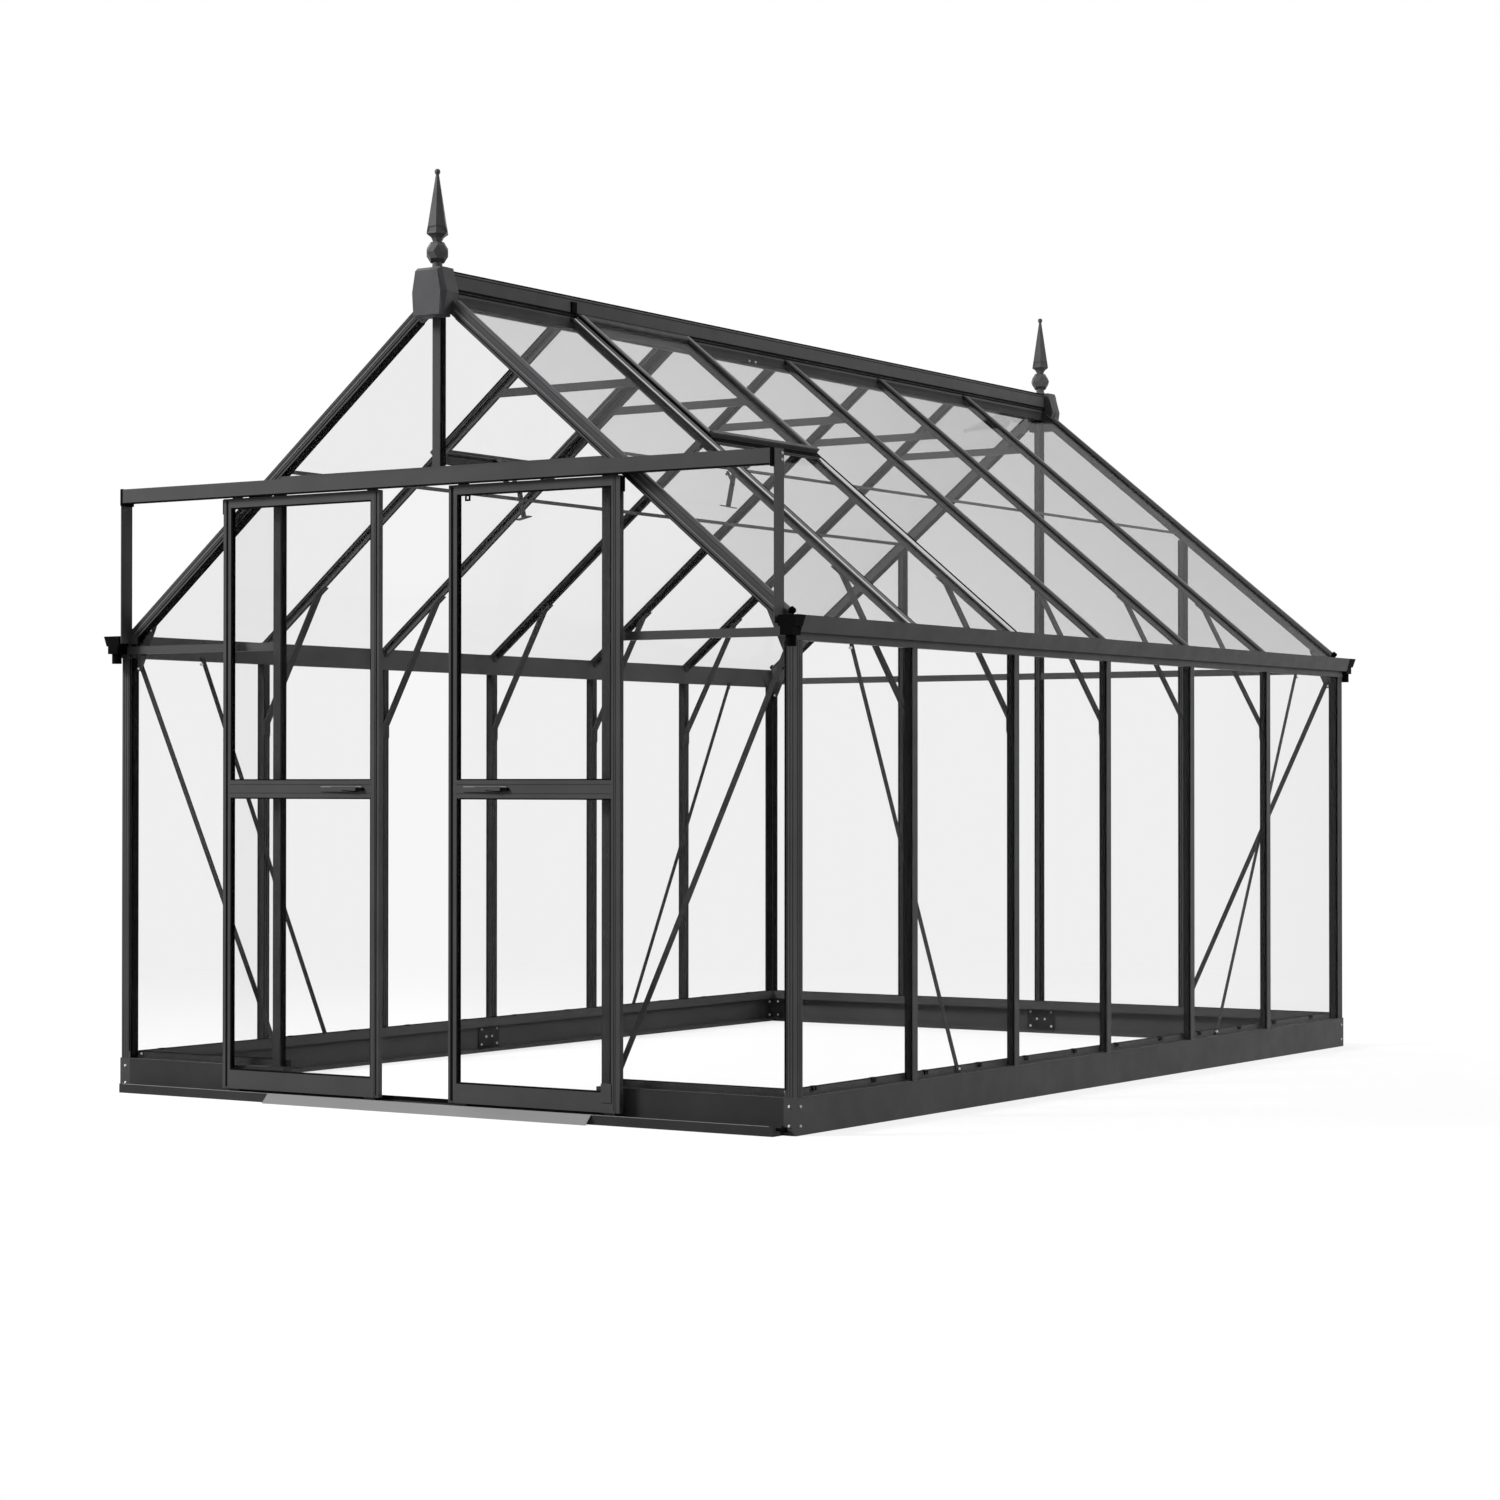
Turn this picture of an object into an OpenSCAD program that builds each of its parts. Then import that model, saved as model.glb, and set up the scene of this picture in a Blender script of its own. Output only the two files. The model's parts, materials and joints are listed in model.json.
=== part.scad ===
// Glass greenhouse: aluminium frame on a low steel base, with a pitched glass roof,
// eave gutters, ridge finials, roof vents and two sliding doors.
// Millimetres, +Z up. +Y runs from the door end to the rear, and X across the front.

/* [Base] */
// Length of the base, front to rear
base_l = 3760; // [3720:1:3800]
// Width of the base
base_w = 2493; // [2470:1:2530]
// Height of the base
base_h = 103; // [80:1:140]
// Sheet thickness of the base channel
base_t = 3; // [2:0.5:5]
// Flange width of the base channel
base_flange = 40; // [38:1:50]
// Depth of the return lips on the base flanges
base_lip = 12; // [8:1:20]
// Half width of the gap in the front base at the doorway
threshold_half = 580; // [560:1:595]
// Inset of the wall faces from the base faces
wall_inset = 3; // [0:0.5:6]
// Height of the sill upstand on the base, behind the glass
sill_h = 20; // [14:1:28]
// Length of a base splice plate
splice_l = 120; // [110:1:160]
// Margin of a splice plate below and above
splice_margin = 10; // [6:1:20]
// Thickness of a splice plate
splice_t = 3; // [2:0.5:5]
// Diameter of the splice plate holes
splice_hole_d = 8; // [5:0.5:12]
// Distance of the outer splice holes from the middle, along the plate
splice_outer_x = 45; // [40:1:48]
// Distance of the outer splice holes from the middle, up and down
splice_outer_z = 27; // [22:1:30]
// Distance of the inner splice holes from the middle, along the plate
splice_inner_x = 17; // [12:1:24]

/* [Glazing bars] */
// Pitch of the side wall posts and rafters
side_pitch = 615; // [605:1:622]
// Distance of the end wall posts and door posts from the middle
end_pitch = 610; // [605:1:620]
// Width of a glazing bar
bar_w = 28; // [24:1:34]
// Depth of a glazing bar
bar_d = 28; // [24:1:34]
// Thickness of the outer cap of a bar
cap_t = 3; // [2:0.5:4]
// Width of the neck between two panes
neck_w = 8; // [6:1:10]
// Thickness of the inner flange of a bar
flange_t = 3; // [2:0.5:4]
// Width of the inner stem of a bar
stem_w = 12; // [11:1:16]
// Width and depth of the bolt groove
groove = 5; // [3:0.5:6]
// Thickness of the glass
glass_t = 4; // [3:0.5:5]
// Play between a pane's edge and its bar
glass_play = 1; // [0.5:0.5:2]
// Width of a corner post
corner_w = 36; // [32:1:44]
// Spacing of the grooves in corner posts and gable rafters
rib_pitch = 9; // [8:0.5:10]
// Width of a groove in corner posts and gable rafters
rib_w = 3; // [2:0.5:4]
// Depth of a groove in corner posts and gable rafters
rib_d = 1.2; // [0.5:0.1:1.5]

/* [Eaves and roof] */
// Height of the eave beam's underside
eave_h = 1350; // [1250:5:1450]
// Height of the cross bars in the end walls
cross_bar_h = 24; // [18:1:30]
// Rise of the cross bars above the eave beam's underside
cross_rise = 12; // [8:1:20]
// Rise from the eave beam's underside to the rafters' top
eave_rise = 79; // [76:1:84]
// Width of the eave beam
eave_w = 30; // [28:1:36]
// Thickness of the eave beam's upstand under the roof glass
upstand_t = 3; // [2:0.5:5]
// Pitch of the roof in degrees
roof_pitch = 39.1; // [37:0.1:41]
// Reach of the gutter beyond the eave beam at its lip
gutter_reach = 31; // [28:1:40]
// Slope of the gutter's outer wall, across
gutter_flare = 15; // [8:1:18]
// Height of the gutter's underside above the eave beam's underside
gutter_floor = 21; // [18:0.5:22]
// Height of the gutter's outer wall
gutter_wall = 46; // [40:1:52]
// Sheet thickness of the gutter
gutter_t = 3; // [2:0.5:4]
// Overhang of the roof glass past the eave beam
glass_overhang = 5; // [2:0.5:8]
// Length of a gutter end cap
gutter_cap_l = 43; // [40:1:50]
// Diameter of the gutter outlet
outlet_d = 30; // [24:1:32]
// Wall of the gutter outlet
outlet_wall = 2.5; // [2:0.5:4]
// Length of the gutter outlet
outlet_l = 30; // [20:1:50]
// Depth of the gable rafters
gable_d = 35; // [32:1:42]
// Depth of the groove that holds the glass in frames
rebate = 10; // [6:0.5:10]
// Half width of the ridge beam
ridge_half = 25; // [22:1:28]
// Step of the ridge beam's upper band over its sides
ridge_step = 5; // [3:0.5:6]
// Height of the ridge beam above the rafters' top
ridge_rise = 64; // [58:1:70]
// Width of the purlin rails
purlin_w = 14; // [10:1:24]
// Distance of the purlin rails from the middle
purlin_x = 605; // [560:1:640]
// Thickness of flat bars, braces and gussets
strap_t = 3; // [2:0.5:5]
// Width of short straps and stays
strap_w = 24; // [16:1:28]
// Width of the walls' diagonal braces
brace_w = 17; // [14:1:24]
// Depth of a collar tie
tie_h = 25; // [18:1:30]
// Drop of the collar ties' middle below the ridge beam's underside
tie_drop = 180; // [140:5:240]
// Leg of a gusset plate
gusset_leg = 62; // [50:1:90]
// Reach of an end wall's corner gusset along its top
gusset_reach = 80; // [60:1:100]
// Width of an end wall's corner gusset at its foot
gusset_foot = 17; // [10:1:30]
// Drop of an end wall's corner gusset below the eave beam's underside
gusset_drop = 40; // [30:1:60]
// Step between the upper and the lower box of a gutter end cap
cap_step = 6; // [4:0.5:8]
// Height of the upper box of a gutter end cap
cap_upper_h = 31; // [26:1:36]
// Height of the lower box of a gutter end cap
cap_lower_h = 24; // [18:1:30]
// Drop of a knee brace below the eave beam's underside
knee_drop = 190; // [150:5:240]
// Distance of a knee brace's upper end from the wall
knee_reach = 216; // [180:2:260]
// Length of a knee brace's bent tab
knee_tab = 45; // [30:1:60]
// Width of a knee brace along the house
knee_w = 28; // [20:1:28]
// Depth of a knee brace's pressed bar between its tabs
knee_t = 7; // [3:1:10]

/* [Ridge ends] */
// Overall width of a ridge end cover
cover_w = 130; // [110:1:150]
// Width of the front face of a ridge end cover
cover_face_w = 96; // [80:1:108]
// Depth of the front block of a ridge end cover
cover_depth = 33; // [26:1:40]
// Height of a ridge end cover below the ridge beam's top
cover_drop = 140; // [130:1:160]
// Thickness of a ridge end cover over the ridge beam
cover_t = 5; // [3:0.5:8]
// Length of the hood behind a ridge end cover
hood_l = 24; // [18:1:60]
// Width of the groove round a ridge end cover
cover_groove = 6; // [3:0.5:8]
// Depth of the groove round a ridge end cover
cover_groove_d = 7; // [3:0.5:10]
// Height of a finial's spire with the ball at its tip
spire_h = 192; // [120:1:220]
// Width of a finial's spire at its foot
spire_w = 69; // [50:1:80]
// Diameter of a finial's ball
finial_ball_d = 63; // [50:1:70]
// Diameter of a finial's neck
finial_neck_d = 29; // [20:1:36]
// Height of a finial's neck
finial_neck_h = 20; // [14:1:30]
// Height of the flare between the ball and the spire
finial_flare_h = 24; // [12:1:30]
// Diameter of the ball at a finial's tip
finial_tip_d = 17; // [10:1:18]

/* [Roof vents] */
// Number of the bay that holds the vents, from the door end
vent_bay = 2; // [2:1:5]
// Distance of a vent's lower edge from the middle
vent_x = 524; // [480:1:575]
// Width of a vent's side and top rails
vent_rail = 24; // [20:1:28]
// Width of a vent's lower rail
vent_lower_rail = 30; // [28:1:40]
// Height of a vent's frame
vent_h = 18; // [16:1:24]
// Height of a vent's lower rail
vent_lower_h = 28; // [24:1:40]
// Lap of a vent's frame on each rafter
vent_lap = 8; // [6:1:20]
// Depth of the sill bar under a vent's lower edge
vent_sill = 30; // [24:1:36]
// Reach of a vent stay's upper arm
stay_reach = 77; // [60:1:120]
// Dip of a vent stay's upper arm
stay_dip = 86; // [40:1:110]
// Length of a vent stay's hanging arm
stay_l = 106; // [80:1:140]
// Lean of a vent stay's hanging arm in degrees
stay_lean = 12; // [0:1:20]
// Length of the foot on a vent stay
stay_foot = 50; // [40:1:70]

/* [Doors] */
// Width of a door
door_w = 608; // [596:1:616]
// Thickness of a door
door_t = 18; // [16:1:22]
// Height of a door's lower edge above the ground
door_bottom = 34; // [32:0.5:40]
// Gap between a door's upper edge and the header
door_head_gap = 6; // [5:0.5:10]
// Width of the door stiles
stile_w = 30; // [26:1:40]
// Height of the lower rail
lower_rail_h = 56; // [44:1:70]
// Height of the middle rail
middle_rail_h = 52; // [40:1:64]
// Height of the middle rail's centre
middle_rail_z = 942; // [850:1:1000]
// Height of the top rail
top_rail_h = 28; // [24:1:36]
// Rest position of the left door's outer edge
left_door_x = -791; // [-800:1:-780]
// Rest position of the right door's inner edge
right_door_x = 77; // [70:1:90]
// Length of a door handle
handle_l = 165; // [120:1:200]
// Height of a door handle at its thick end
handle_h = 16; // [10:1:24]
// Height of a door handle at its thin end
handle_tip_h = 9; // [6:1:10]
// Depth of a door handle
handle_d = 8; // [5:0.5:12]
// Distance of a handle from the doors' meeting edge
handle_in = 55; // [40:1:80]

/* [Door track] */
// Distance of the header's and the lower track's ends from the base's sides
track_inset = 43.5; // [40.5:0.5:48]
// Depth of the header and the lower track, front to rear
track_d = 53; // [48:1:60]
// Sheet thickness of the header and the lower track
track_t = 3; // [2:0.5:4]
// Rise of the header's underside above the eave beam's underside
header_rise = 480; // [440:1:490]
// Height of the header
header_h = 42; // [38:1:50]
// Rise of the head bar's top above the header
head_bar_rise = 14; // [10:1:20]
// Width of the lip that the door rollers run on
runner_lip = 18; // [15:0.5:20]
// Height of the lower track
track_h = 28; // [22:1:28]
// Diameter of a door roller
roller_d = 20; // [16:1:22]
// Thickness of a door roller
roller_t = 6; // [4:0.5:7]
// Diameter of a roller's axle
axle_d = 6; // [4:0.5:8]
// Running clearance under the rollers
runner_play = 0.3; // [0.2:0.1:0.5]
// Side room between a roller and the header
roller_room = 5; // [4:0.5:6]
// Width of a roller hanger and of a lower guide
hanger_w = 40; // [30:1:50]
// Depth that a lower guide reaches into the track
guide_depth = 12; // [6:0.5:14]
// Thickness of a lower guide
guide_t = 6; // [4:0.5:10]
// Half width of the threshold ramp
ramp_half = 597; // [560:1:620]
// Length of the threshold ramp
ramp_l = 28; // [20:1:60]
// Depth of a header end post
end_post_d = 48; // [40:1:53]

/* [Hidden] */
$fn = 48;

// Colours
frame_colour = "#4a4b4d";
plastic_colour = "#161616";
glass_colour = "#d9dedd";
ramp_colour = "#9a9a9a";

// Planes of the base and the walls
half_w = base_w / 2;
half_l = base_l / 2;
face_x = half_w - wall_inset;
face_y = half_l - wall_inset;
inner_x = face_x - bar_d;
inner_y = face_y - bar_d;
slot_in = cap_t + glass_t;
seat_in = slot_in + flange_t;
edge_gap = neck_w / 2 + glass_play;

// Bays along the sides and across the ends
side_bays = 6;
side_posts = [for (i = [1:side_bays - 1]) (i - side_bays / 2) * side_pitch];
rear_posts = [-end_pitch, 0, end_pitch];
pane_y = concat(
    [-face_y + corner_w - rebate], side_posts, [face_y - corner_w + rebate]
);

// Heights of the roof planes; drop is measured square to the slope
eave_top = eave_h + eave_rise;
function roof_z(x, drop = 0) =
    eave_top + tan(roof_pitch) * (inner_x - abs(x)) - drop / cos(roof_pitch);
function roof_x(z, drop = 0) = inner_x + (eave_top - drop / cos(roof_pitch) - z) / tan(roof_pitch);
function slope_at(x) = (inner_x - x) / cos(roof_pitch);
ridge_low = roof_z(ridge_half, bar_d);
ridge_top = roof_z(ridge_half) + ridge_rise;
band_half = ridge_half + ridge_step;
band_low = roof_z(ridge_half) + ridge_step;
band_chamfer = 6;
eave_out = inner_x + eave_w;
cross_z = eave_h + cross_rise;
cross_top = cross_z + cross_bar_h;
tie_z = ridge_low - tie_drop;
sky = 2 * ridge_top;

// Gutter section, right hand side
gutter_z = eave_h + gutter_floor;
lip_z = gutter_z + gutter_wall;
lip_x = eave_out + gutter_reach;
gutter_foot_x = lip_x - gutter_flare;
trough_z = gutter_z + gutter_t;
trough_in_x = roof_x(trough_z, bar_d);
outlet_x = gutter_foot_x - outlet_d / 2 - outlet_wall;
outlet_y = half_l + gutter_cap_l / 2;
cap_step_z = lip_z - cap_upper_h;
cap_low = cap_step_z - cap_lower_h;

// Door planes and heights
track_half = half_w - track_inset;
header_z = eave_h + header_rise;
door_top = header_z - door_head_gap;
head_top = header_z + header_h + head_bar_rise;
track_front = face_y + track_d;
lip_in = track_front - runner_lip;
door_y = face_y + track_d / 2 + 2.5;
door_front = door_y + door_t / 2;
door_back = door_y - door_t / 2;
roller_y = track_front - track_t - roller_room - roller_t / 2;
roller_z = header_z + track_t + runner_play + roller_d / 2;
post_foot_z = roof_z(track_half, gable_d);

// The whole stands with the middle of its outline over the origin
reach_front = track_front + ramp_l;
reach_rear = half_l + gutter_cap_l;
centre_y = (reach_front - reach_rear) / 2;

// Finish and place of one sub-part
module placed(finish) color(finish) translate([0, centre_y, 0]) children();

// The same piece on the left and the right
module both_sides() {
    children();
    mirror([1, 0, 0]) children();
}

// The same piece at the front and the rear
module both_ends() {
    children();
    mirror([0, 1, 0]) children();
}

// Outline closed by mirroring its half about the vertical axis
function mirrored(half) = concat(half, [for (i = [len(half) - 1:-1:0]) [-half[i][0], half[i][1]]]);

// Section drawn across Y and Z, run along X
module run_x(length) rotate([90, 0, 90]) linear_extrude(length) children();

// Section drawn across X and Z, run along Y from both sides of the middle
module run_y(length) rotate([90, 0, 0]) linear_extrude(length, center = true) children();

// Axes of the left slope: X up the slope, Y along the ridge, Z out of the roof
module left_slope() translate([-inner_x, 0, eave_top]) rotate([0, -roof_pitch, 0]) children();

// Point on the left slope across X and Z: up the slope from the eave, and out of the roof
function on_slope(up, out) = [
    up * cos(roof_pitch) - out * sin(roof_pitch) - inner_x,
    up * sin(roof_pitch) + out * cos(roof_pitch) + eave_top
];

// The space above a plane that lies a given depth under both roof faces
module above_roof(drop) {
    reach = half_w + lip_x;
    run_y(3 * base_l) polygon([
        [-reach, roof_z(reach, drop)], [0, roof_z(0, drop)], [reach, roof_z(reach, drop)],
        [reach, sky], [-reach, sky]
    ]);
}

// Glazing bar section with its outer face at Y = 0: cap, glass slots, flange and grooved stem
module bar_section() polygon(mirrored([
    [groove / 2, -bar_d + groove], [groove / 2, -bar_d], [stem_w / 2, -bar_d], [stem_w / 2, -seat_in],
    [bar_w / 2, -seat_in], [bar_w / 2, -slot_in], [neck_w / 2, -slot_in], [neck_w / 2, -cap_t],
    [bar_w / 2, -cap_t], [bar_w / 2, 0]
]));

// Base channel section with its outer face at X = 0
module base_section() polygon([
    [0, 0], [0, base_h], [-base_flange, base_h], [-base_flange, base_h - base_lip],
    [base_t - base_flange, base_h - base_lip], [base_t - base_flange, base_h - base_t],
    [-base_t, base_h - base_t], [-base_t, base_t], [base_t - base_flange, base_t],
    [base_t - base_flange, base_lip], [-base_flange, base_lip], [-base_flange, 0]
]);

module base_sides() placed(frame_colour) both_sides() {
    translate([half_w, 0, 0]) run_y(base_l) base_section();
    translate([half_w - base_flange, corner_w - face_y, base_h])
        cube([base_t, 2 * (face_y - corner_w), sill_h]);
    both_ends() translate([half_w - base_flange, half_l - base_t, 0])
        cube([base_flange, base_t, base_h]);
}

module base_front() placed(frame_colour) both_sides() {
    length = half_w - base_flange - threshold_half;
    mirror([0, 1, 0]) translate([threshold_half, half_l, 0]) run_x(length) base_section();
    translate([threshold_half, base_flange - base_t - half_l, base_h]) cube([length, base_t, sill_h]);
    translate([threshold_half, -half_l, 0]) cube([base_t, base_flange, base_h]);
}

module base_rear() placed(frame_colour) {
    length = base_w - 2 * base_flange;
    translate([-length / 2, half_l, 0]) run_x(length) base_section();
    translate([-length / 2, half_l - base_flange, base_h]) cube([length, base_t, sill_h]);
}

// Plate with six holes that joins two lengths of base from inside, drawn standing against Y = 0
module splice_plate() {
    plate_h = base_h - 2 * splice_margin;
    holes = concat(
        [for (x = [-splice_outer_x, splice_outer_x], z = [-splice_outer_z, splice_outer_z]) [x, z]],
        [[-splice_inner_x, 0], [splice_inner_x, 0]]
    );
    translate([0, 0, base_h / 2]) difference() {
        translate([-splice_l / 2, 0, -plate_h / 2]) cube([splice_l, splice_t, plate_h]);
        for (p = holes) translate([p[0], -1, p[1]])
            rotate([-90, 0, 0]) cylinder(d = splice_hole_d, h = splice_t + 2);
    }
}

module base_splice_plates() placed(frame_colour) {
    behind_web = base_t + splice_t;
    translate([0, half_l - behind_web, 0]) splice_plate();
    both_sides() translate([half_w - behind_web, 0, 0]) rotate([0, 0, -90]) splice_plate();
}

// Corner post at the rear right: a ribbed square tube with a slot for each neighbouring pane
module corner_post() difference() {
    translate([face_x - corner_w, face_y - corner_w, base_h])
        cube([corner_w, corner_w, eave_h - base_h]);
    translate([face_x - slot_in, face_y - corner_w - 1, base_h - 1]) cube([glass_t, rebate + 1, eave_h]);
    translate([face_x - corner_w - 1, face_y - slot_in, base_h - 1]) cube([rebate + 1, glass_t, eave_h]);
    for (i = [1:3]) {
        translate([face_x - i * rib_pitch - rib_w / 2, face_y - rib_d, base_h - 1])
            cube([rib_w, corner_w, eave_h]);
        translate([face_x - rib_d, face_y - i * rib_pitch - rib_w / 2, base_h - 1])
            cube([corner_w, rib_w, eave_h]);
    }
}

module corner_posts() placed(frame_colour) both_ends() both_sides() corner_post();

// Row of side wall posts, drawn on the left
module side_posts_row() for (y = side_posts)
    translate([-face_x, y, base_h]) rotate([0, 0, 90]) linear_extrude(eave_h - base_h) bar_section();

module left_wall_posts() placed(frame_colour) side_posts_row();

module right_wall_posts() placed(frame_colour) mirror([1, 0, 0]) side_posts_row();

// Post of an end wall, drawn at the rear, that runs up to the gable rafter or the ridge
module end_post(x, foot) difference() {
    translate([x, face_y, foot]) linear_extrude(ridge_low - foot) bar_section();
    if (x != 0) above_roof(gable_d);
}

module rear_wall_posts() placed(frame_colour) for (x = rear_posts) end_post(x, base_h);

module door_posts() placed(frame_colour) mirror([0, 1, 0]) both_sides() end_post(end_pitch, base_h);

module front_king_post() placed(frame_colour) mirror([0, 1, 0]) end_post(0, head_top);

// Cross bar of an end wall between two posts, with a slot for the pane below and above
module cross_bar(x0, x1, z) difference() {
    translate([x0, face_y - bar_d, z]) cube([x1 - x0, bar_d, cross_bar_h]);
    for (s = [-1, cross_bar_h - rebate * 0.6])
        translate([x0 - 1, face_y - slot_in, z + s]) cube([x1 - x0 + 2, glass_t, rebate * 0.6 + 1]);
    above_roof(gable_d);
}

module front_cross_bars() placed(frame_colour) mirror([0, 1, 0]) {
    both_sides() cross_bar(end_pitch + bar_w / 2, inner_x, cross_z);
    cross_bar(bar_w / 2 - end_pitch, end_pitch - bar_w / 2, head_top - cross_bar_h);
}

module rear_cross_bars() placed(frame_colour) both_sides() {
    cross_bar(bar_w / 2, end_pitch - bar_w / 2, cross_z);
    cross_bar(end_pitch + bar_w / 2, inner_x, cross_z);
}

// Eave beam and gutter in one section, right hand side: the seat follows the rafters' underside
eave_section = [
    [inner_x, eave_h], [eave_out, eave_h], [eave_out, gutter_z], [gutter_foot_x, gutter_z],
    [lip_x, lip_z], [lip_x - gutter_t, lip_z], [gutter_foot_x - gutter_t * 0.7, trough_z],
    [trough_in_x, trough_z], [inner_x + upstand_t, roof_z(inner_x + upstand_t, bar_d)],
    [inner_x + upstand_t, roof_z(inner_x + upstand_t, slot_in)], [inner_x, roof_z(inner_x, slot_in)]
];

module eave_gutter() run_y(base_l) polygon(eave_section);

module left_eave_gutter() placed(frame_colour) mirror([1, 0, 0]) eave_gutter();

module right_eave_gutter() placed(frame_colour) eave_gutter();

// Moulded cap at the rear right end of a gutter: a stepped hollow box with its outlet spigot below
module gutter_end_cap() {
    wall = outlet_wall;
    difference() {
        union() {
            translate([0, outlet_y, 0]) run_y(gutter_cap_l) polygon([
                [inner_x + cap_step, cap_low], [gutter_foot_x, cap_low], [gutter_foot_x, cap_step_z],
                [gutter_foot_x + cap_step, cap_step_z], [lip_x + wall, lip_z], [inner_x, lip_z],
                [inner_x, cap_step_z], [inner_x + cap_step, cap_step_z]
            ]);
            translate([outlet_x, outlet_y, cap_low - outlet_l]) cylinder(d = outlet_d, h = outlet_l + wall);
        }
        translate([0, outlet_y - wall, 0]) run_y(gutter_cap_l) polygon([
            [inner_x + cap_step + wall, cap_low + wall], [gutter_foot_x - wall, cap_low + wall],
            [gutter_foot_x - wall, cap_step_z + wall], [gutter_foot_x + cap_step - wall, cap_step_z + wall],
            [lip_x, lip_z + 1], [inner_x + wall, lip_z + 1], [inner_x + wall, cap_step_z + wall],
            [inner_x + cap_step + wall, cap_step_z + wall]
        ]);
        translate([outlet_x, outlet_y, cap_low - outlet_l - 1])
            cylinder(d = outlet_d - 2 * wall, h = outlet_l + gutter_wall);
    }
}

module gutter_end_caps() placed(plastic_colour) both_ends() both_sides() gutter_end_cap();

// Ridge beam: a stepped section with a bolt groove below and two grooves in each side of its band
module ridge_section() polygon(mirrored([
    [groove, ridge_low + groove * 2], [groove, ridge_low], [ridge_half, ridge_low],
    [ridge_half, band_low], [band_half, band_low + ridge_step],
    for (i = [1:2], p = [[0, -0.5], [rib_d, -0.5], [rib_d, 0.5], [0, 0.5]])
        [band_half - p[0], band_low + ridge_step + i * rib_pitch + p[1] * rib_w],
    [band_half, ridge_top - band_chamfer], [band_half - band_chamfer, ridge_top]
]));

module ridge_beam() placed(frame_colour) run_y(2 * face_y) ridge_section();

// Six-sided outline of a ridge end cover, widest in its middle
function cover_outline(width, low, high) = [
    [width * 0.32, low], [width / 2, (low + high) / 2], [width * 0.34, high],
    [-width * 0.34, high], [-width / 2, (low + high) / 2], [-width * 0.32, low]
];

// Cover at the rear end: a chamfered block outside the gable with a groove round its foot, and a hood
// over the ridge behind it
module ridge_end_cover() {
    low = ridge_top - cover_drop;
    high = ridge_top + cover_t;
    chamfer = (cover_w - cover_face_w) / 2;
    difference() {
        hull() {
            translate([0, face_y + 0.01, 0]) run_y(0.02) polygon(cover_outline(cover_w, low, high));
            translate([0, face_y + cover_depth - chamfer, 0]) run_y(0.02)
                polygon(cover_outline(cover_w, low, high));
            translate([0, face_y + cover_depth, 0]) run_y(0.02)
                polygon(cover_outline(cover_face_w, low + chamfer, high - chamfer));
        }
        translate([0, face_y + cover_groove, 0]) run_y(cover_groove) difference() {
            polygon(cover_outline(2 * cover_w, low - cover_w, high + cover_w));
            polygon(cover_outline(cover_w - 2 * cover_groove_d, low + cover_groove_d, high - cover_groove_d));
        }
    }
    difference() {
        translate([0, face_y - hood_l / 2, 0]) run_y(hood_l) polygon(cover_outline(cover_w, low, high));
        translate([0, face_y, 0]) run_y(hood_l * 4) ridge_section();
        translate([0, face_y - hood_l / 2, 0]) run_y(hood_l + 2) polygon([
            [-cover_w, roof_z(cover_w)], [-ridge_half, roof_z(ridge_half)],
            [-ridge_half, band_low], [-band_half, band_low + ridge_step],
            [band_half, band_low + ridge_step], [ridge_half, band_low],
            [ridge_half, roof_z(ridge_half)], [cover_w, roof_z(cover_w)],
            [cover_w, low - cover_w], [-cover_w, low - cover_w]
        ]);
    }
}

module ridge_end_covers() placed(plastic_colour) both_ends() ridge_end_cover();

// Finial: neck, faceted ball, hollowed flare and six-sided spire with a small ball at its tip
module finial() {
    ball_z = finial_neck_h + finial_ball_d * 0.46;
    flare_z = ball_z + finial_ball_d * 0.46;
    spire_z = flare_z + finial_flare_h;
    tip_z = spire_z + spire_h - finial_tip_d / 2;
    cylinder(d = finial_neck_d, h = finial_neck_h * 1.3);
    cylinder(d1 = finial_neck_d * 1.25, d2 = finial_neck_d, h = finial_neck_h / 3);
    translate([0, 0, ball_z]) sphere(d = finial_ball_d, $fn = 12);
    difference() {
        rotate_extrude($fn = 6) polygon([
            [0, flare_z - finial_flare_h / 2], [finial_neck_d * 0.45, flare_z - finial_flare_h / 2],
            [finial_neck_d * 0.5, flare_z + finial_flare_h * 0.25],
            [finial_neck_d * 0.66, flare_z + finial_flare_h * 0.6],
            [finial_neck_d * 0.9, flare_z + finial_flare_h * 0.85], [spire_w / 2, spire_z],
            [finial_tip_d * 0.3, tip_z], [0, tip_z]
        ]);
        for (i = [0:5]) rotate(i * 60 + 30) translate([spire_w * 0.36, 0, spire_z])
            rotate([0, 90, 0]) cylinder(d = finial_tip_d, h = spire_w, $fn = 12);
    }
    translate([0, 0, tip_z]) sphere(d = finial_tip_d, $fn = 12);
}

module finials() placed(plastic_colour) both_ends()
    translate([0, face_y - 5, ridge_top + cover_t]) finial();

// Row of rafters on the left: each is notched over the eave beam's upstand and ends at the ridge
module rafters_row() difference() {
    intersection() {
        left_slope() for (y = side_posts)
            translate([-2 * eave_w, y, 0]) run_x(slope_at(0) + 3 * eave_w) bar_section();
        translate([-eave_out, -half_l, trough_z]) cube([eave_out - ridge_half, base_l, sky]);
    }
    mirror([1, 0, 0]) run_y(base_l) polygon([
        [inner_x, eave_h], [inner_x + upstand_t, eave_h],
        [inner_x + upstand_t, roof_z(inner_x + upstand_t, slot_in)], [inner_x, roof_z(inner_x, slot_in)]
    ]);
}

module left_rafters() placed(frame_colour) rafters_row();

module right_rafters() placed(frame_colour) mirror([1, 0, 0]) rafters_row();

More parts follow.
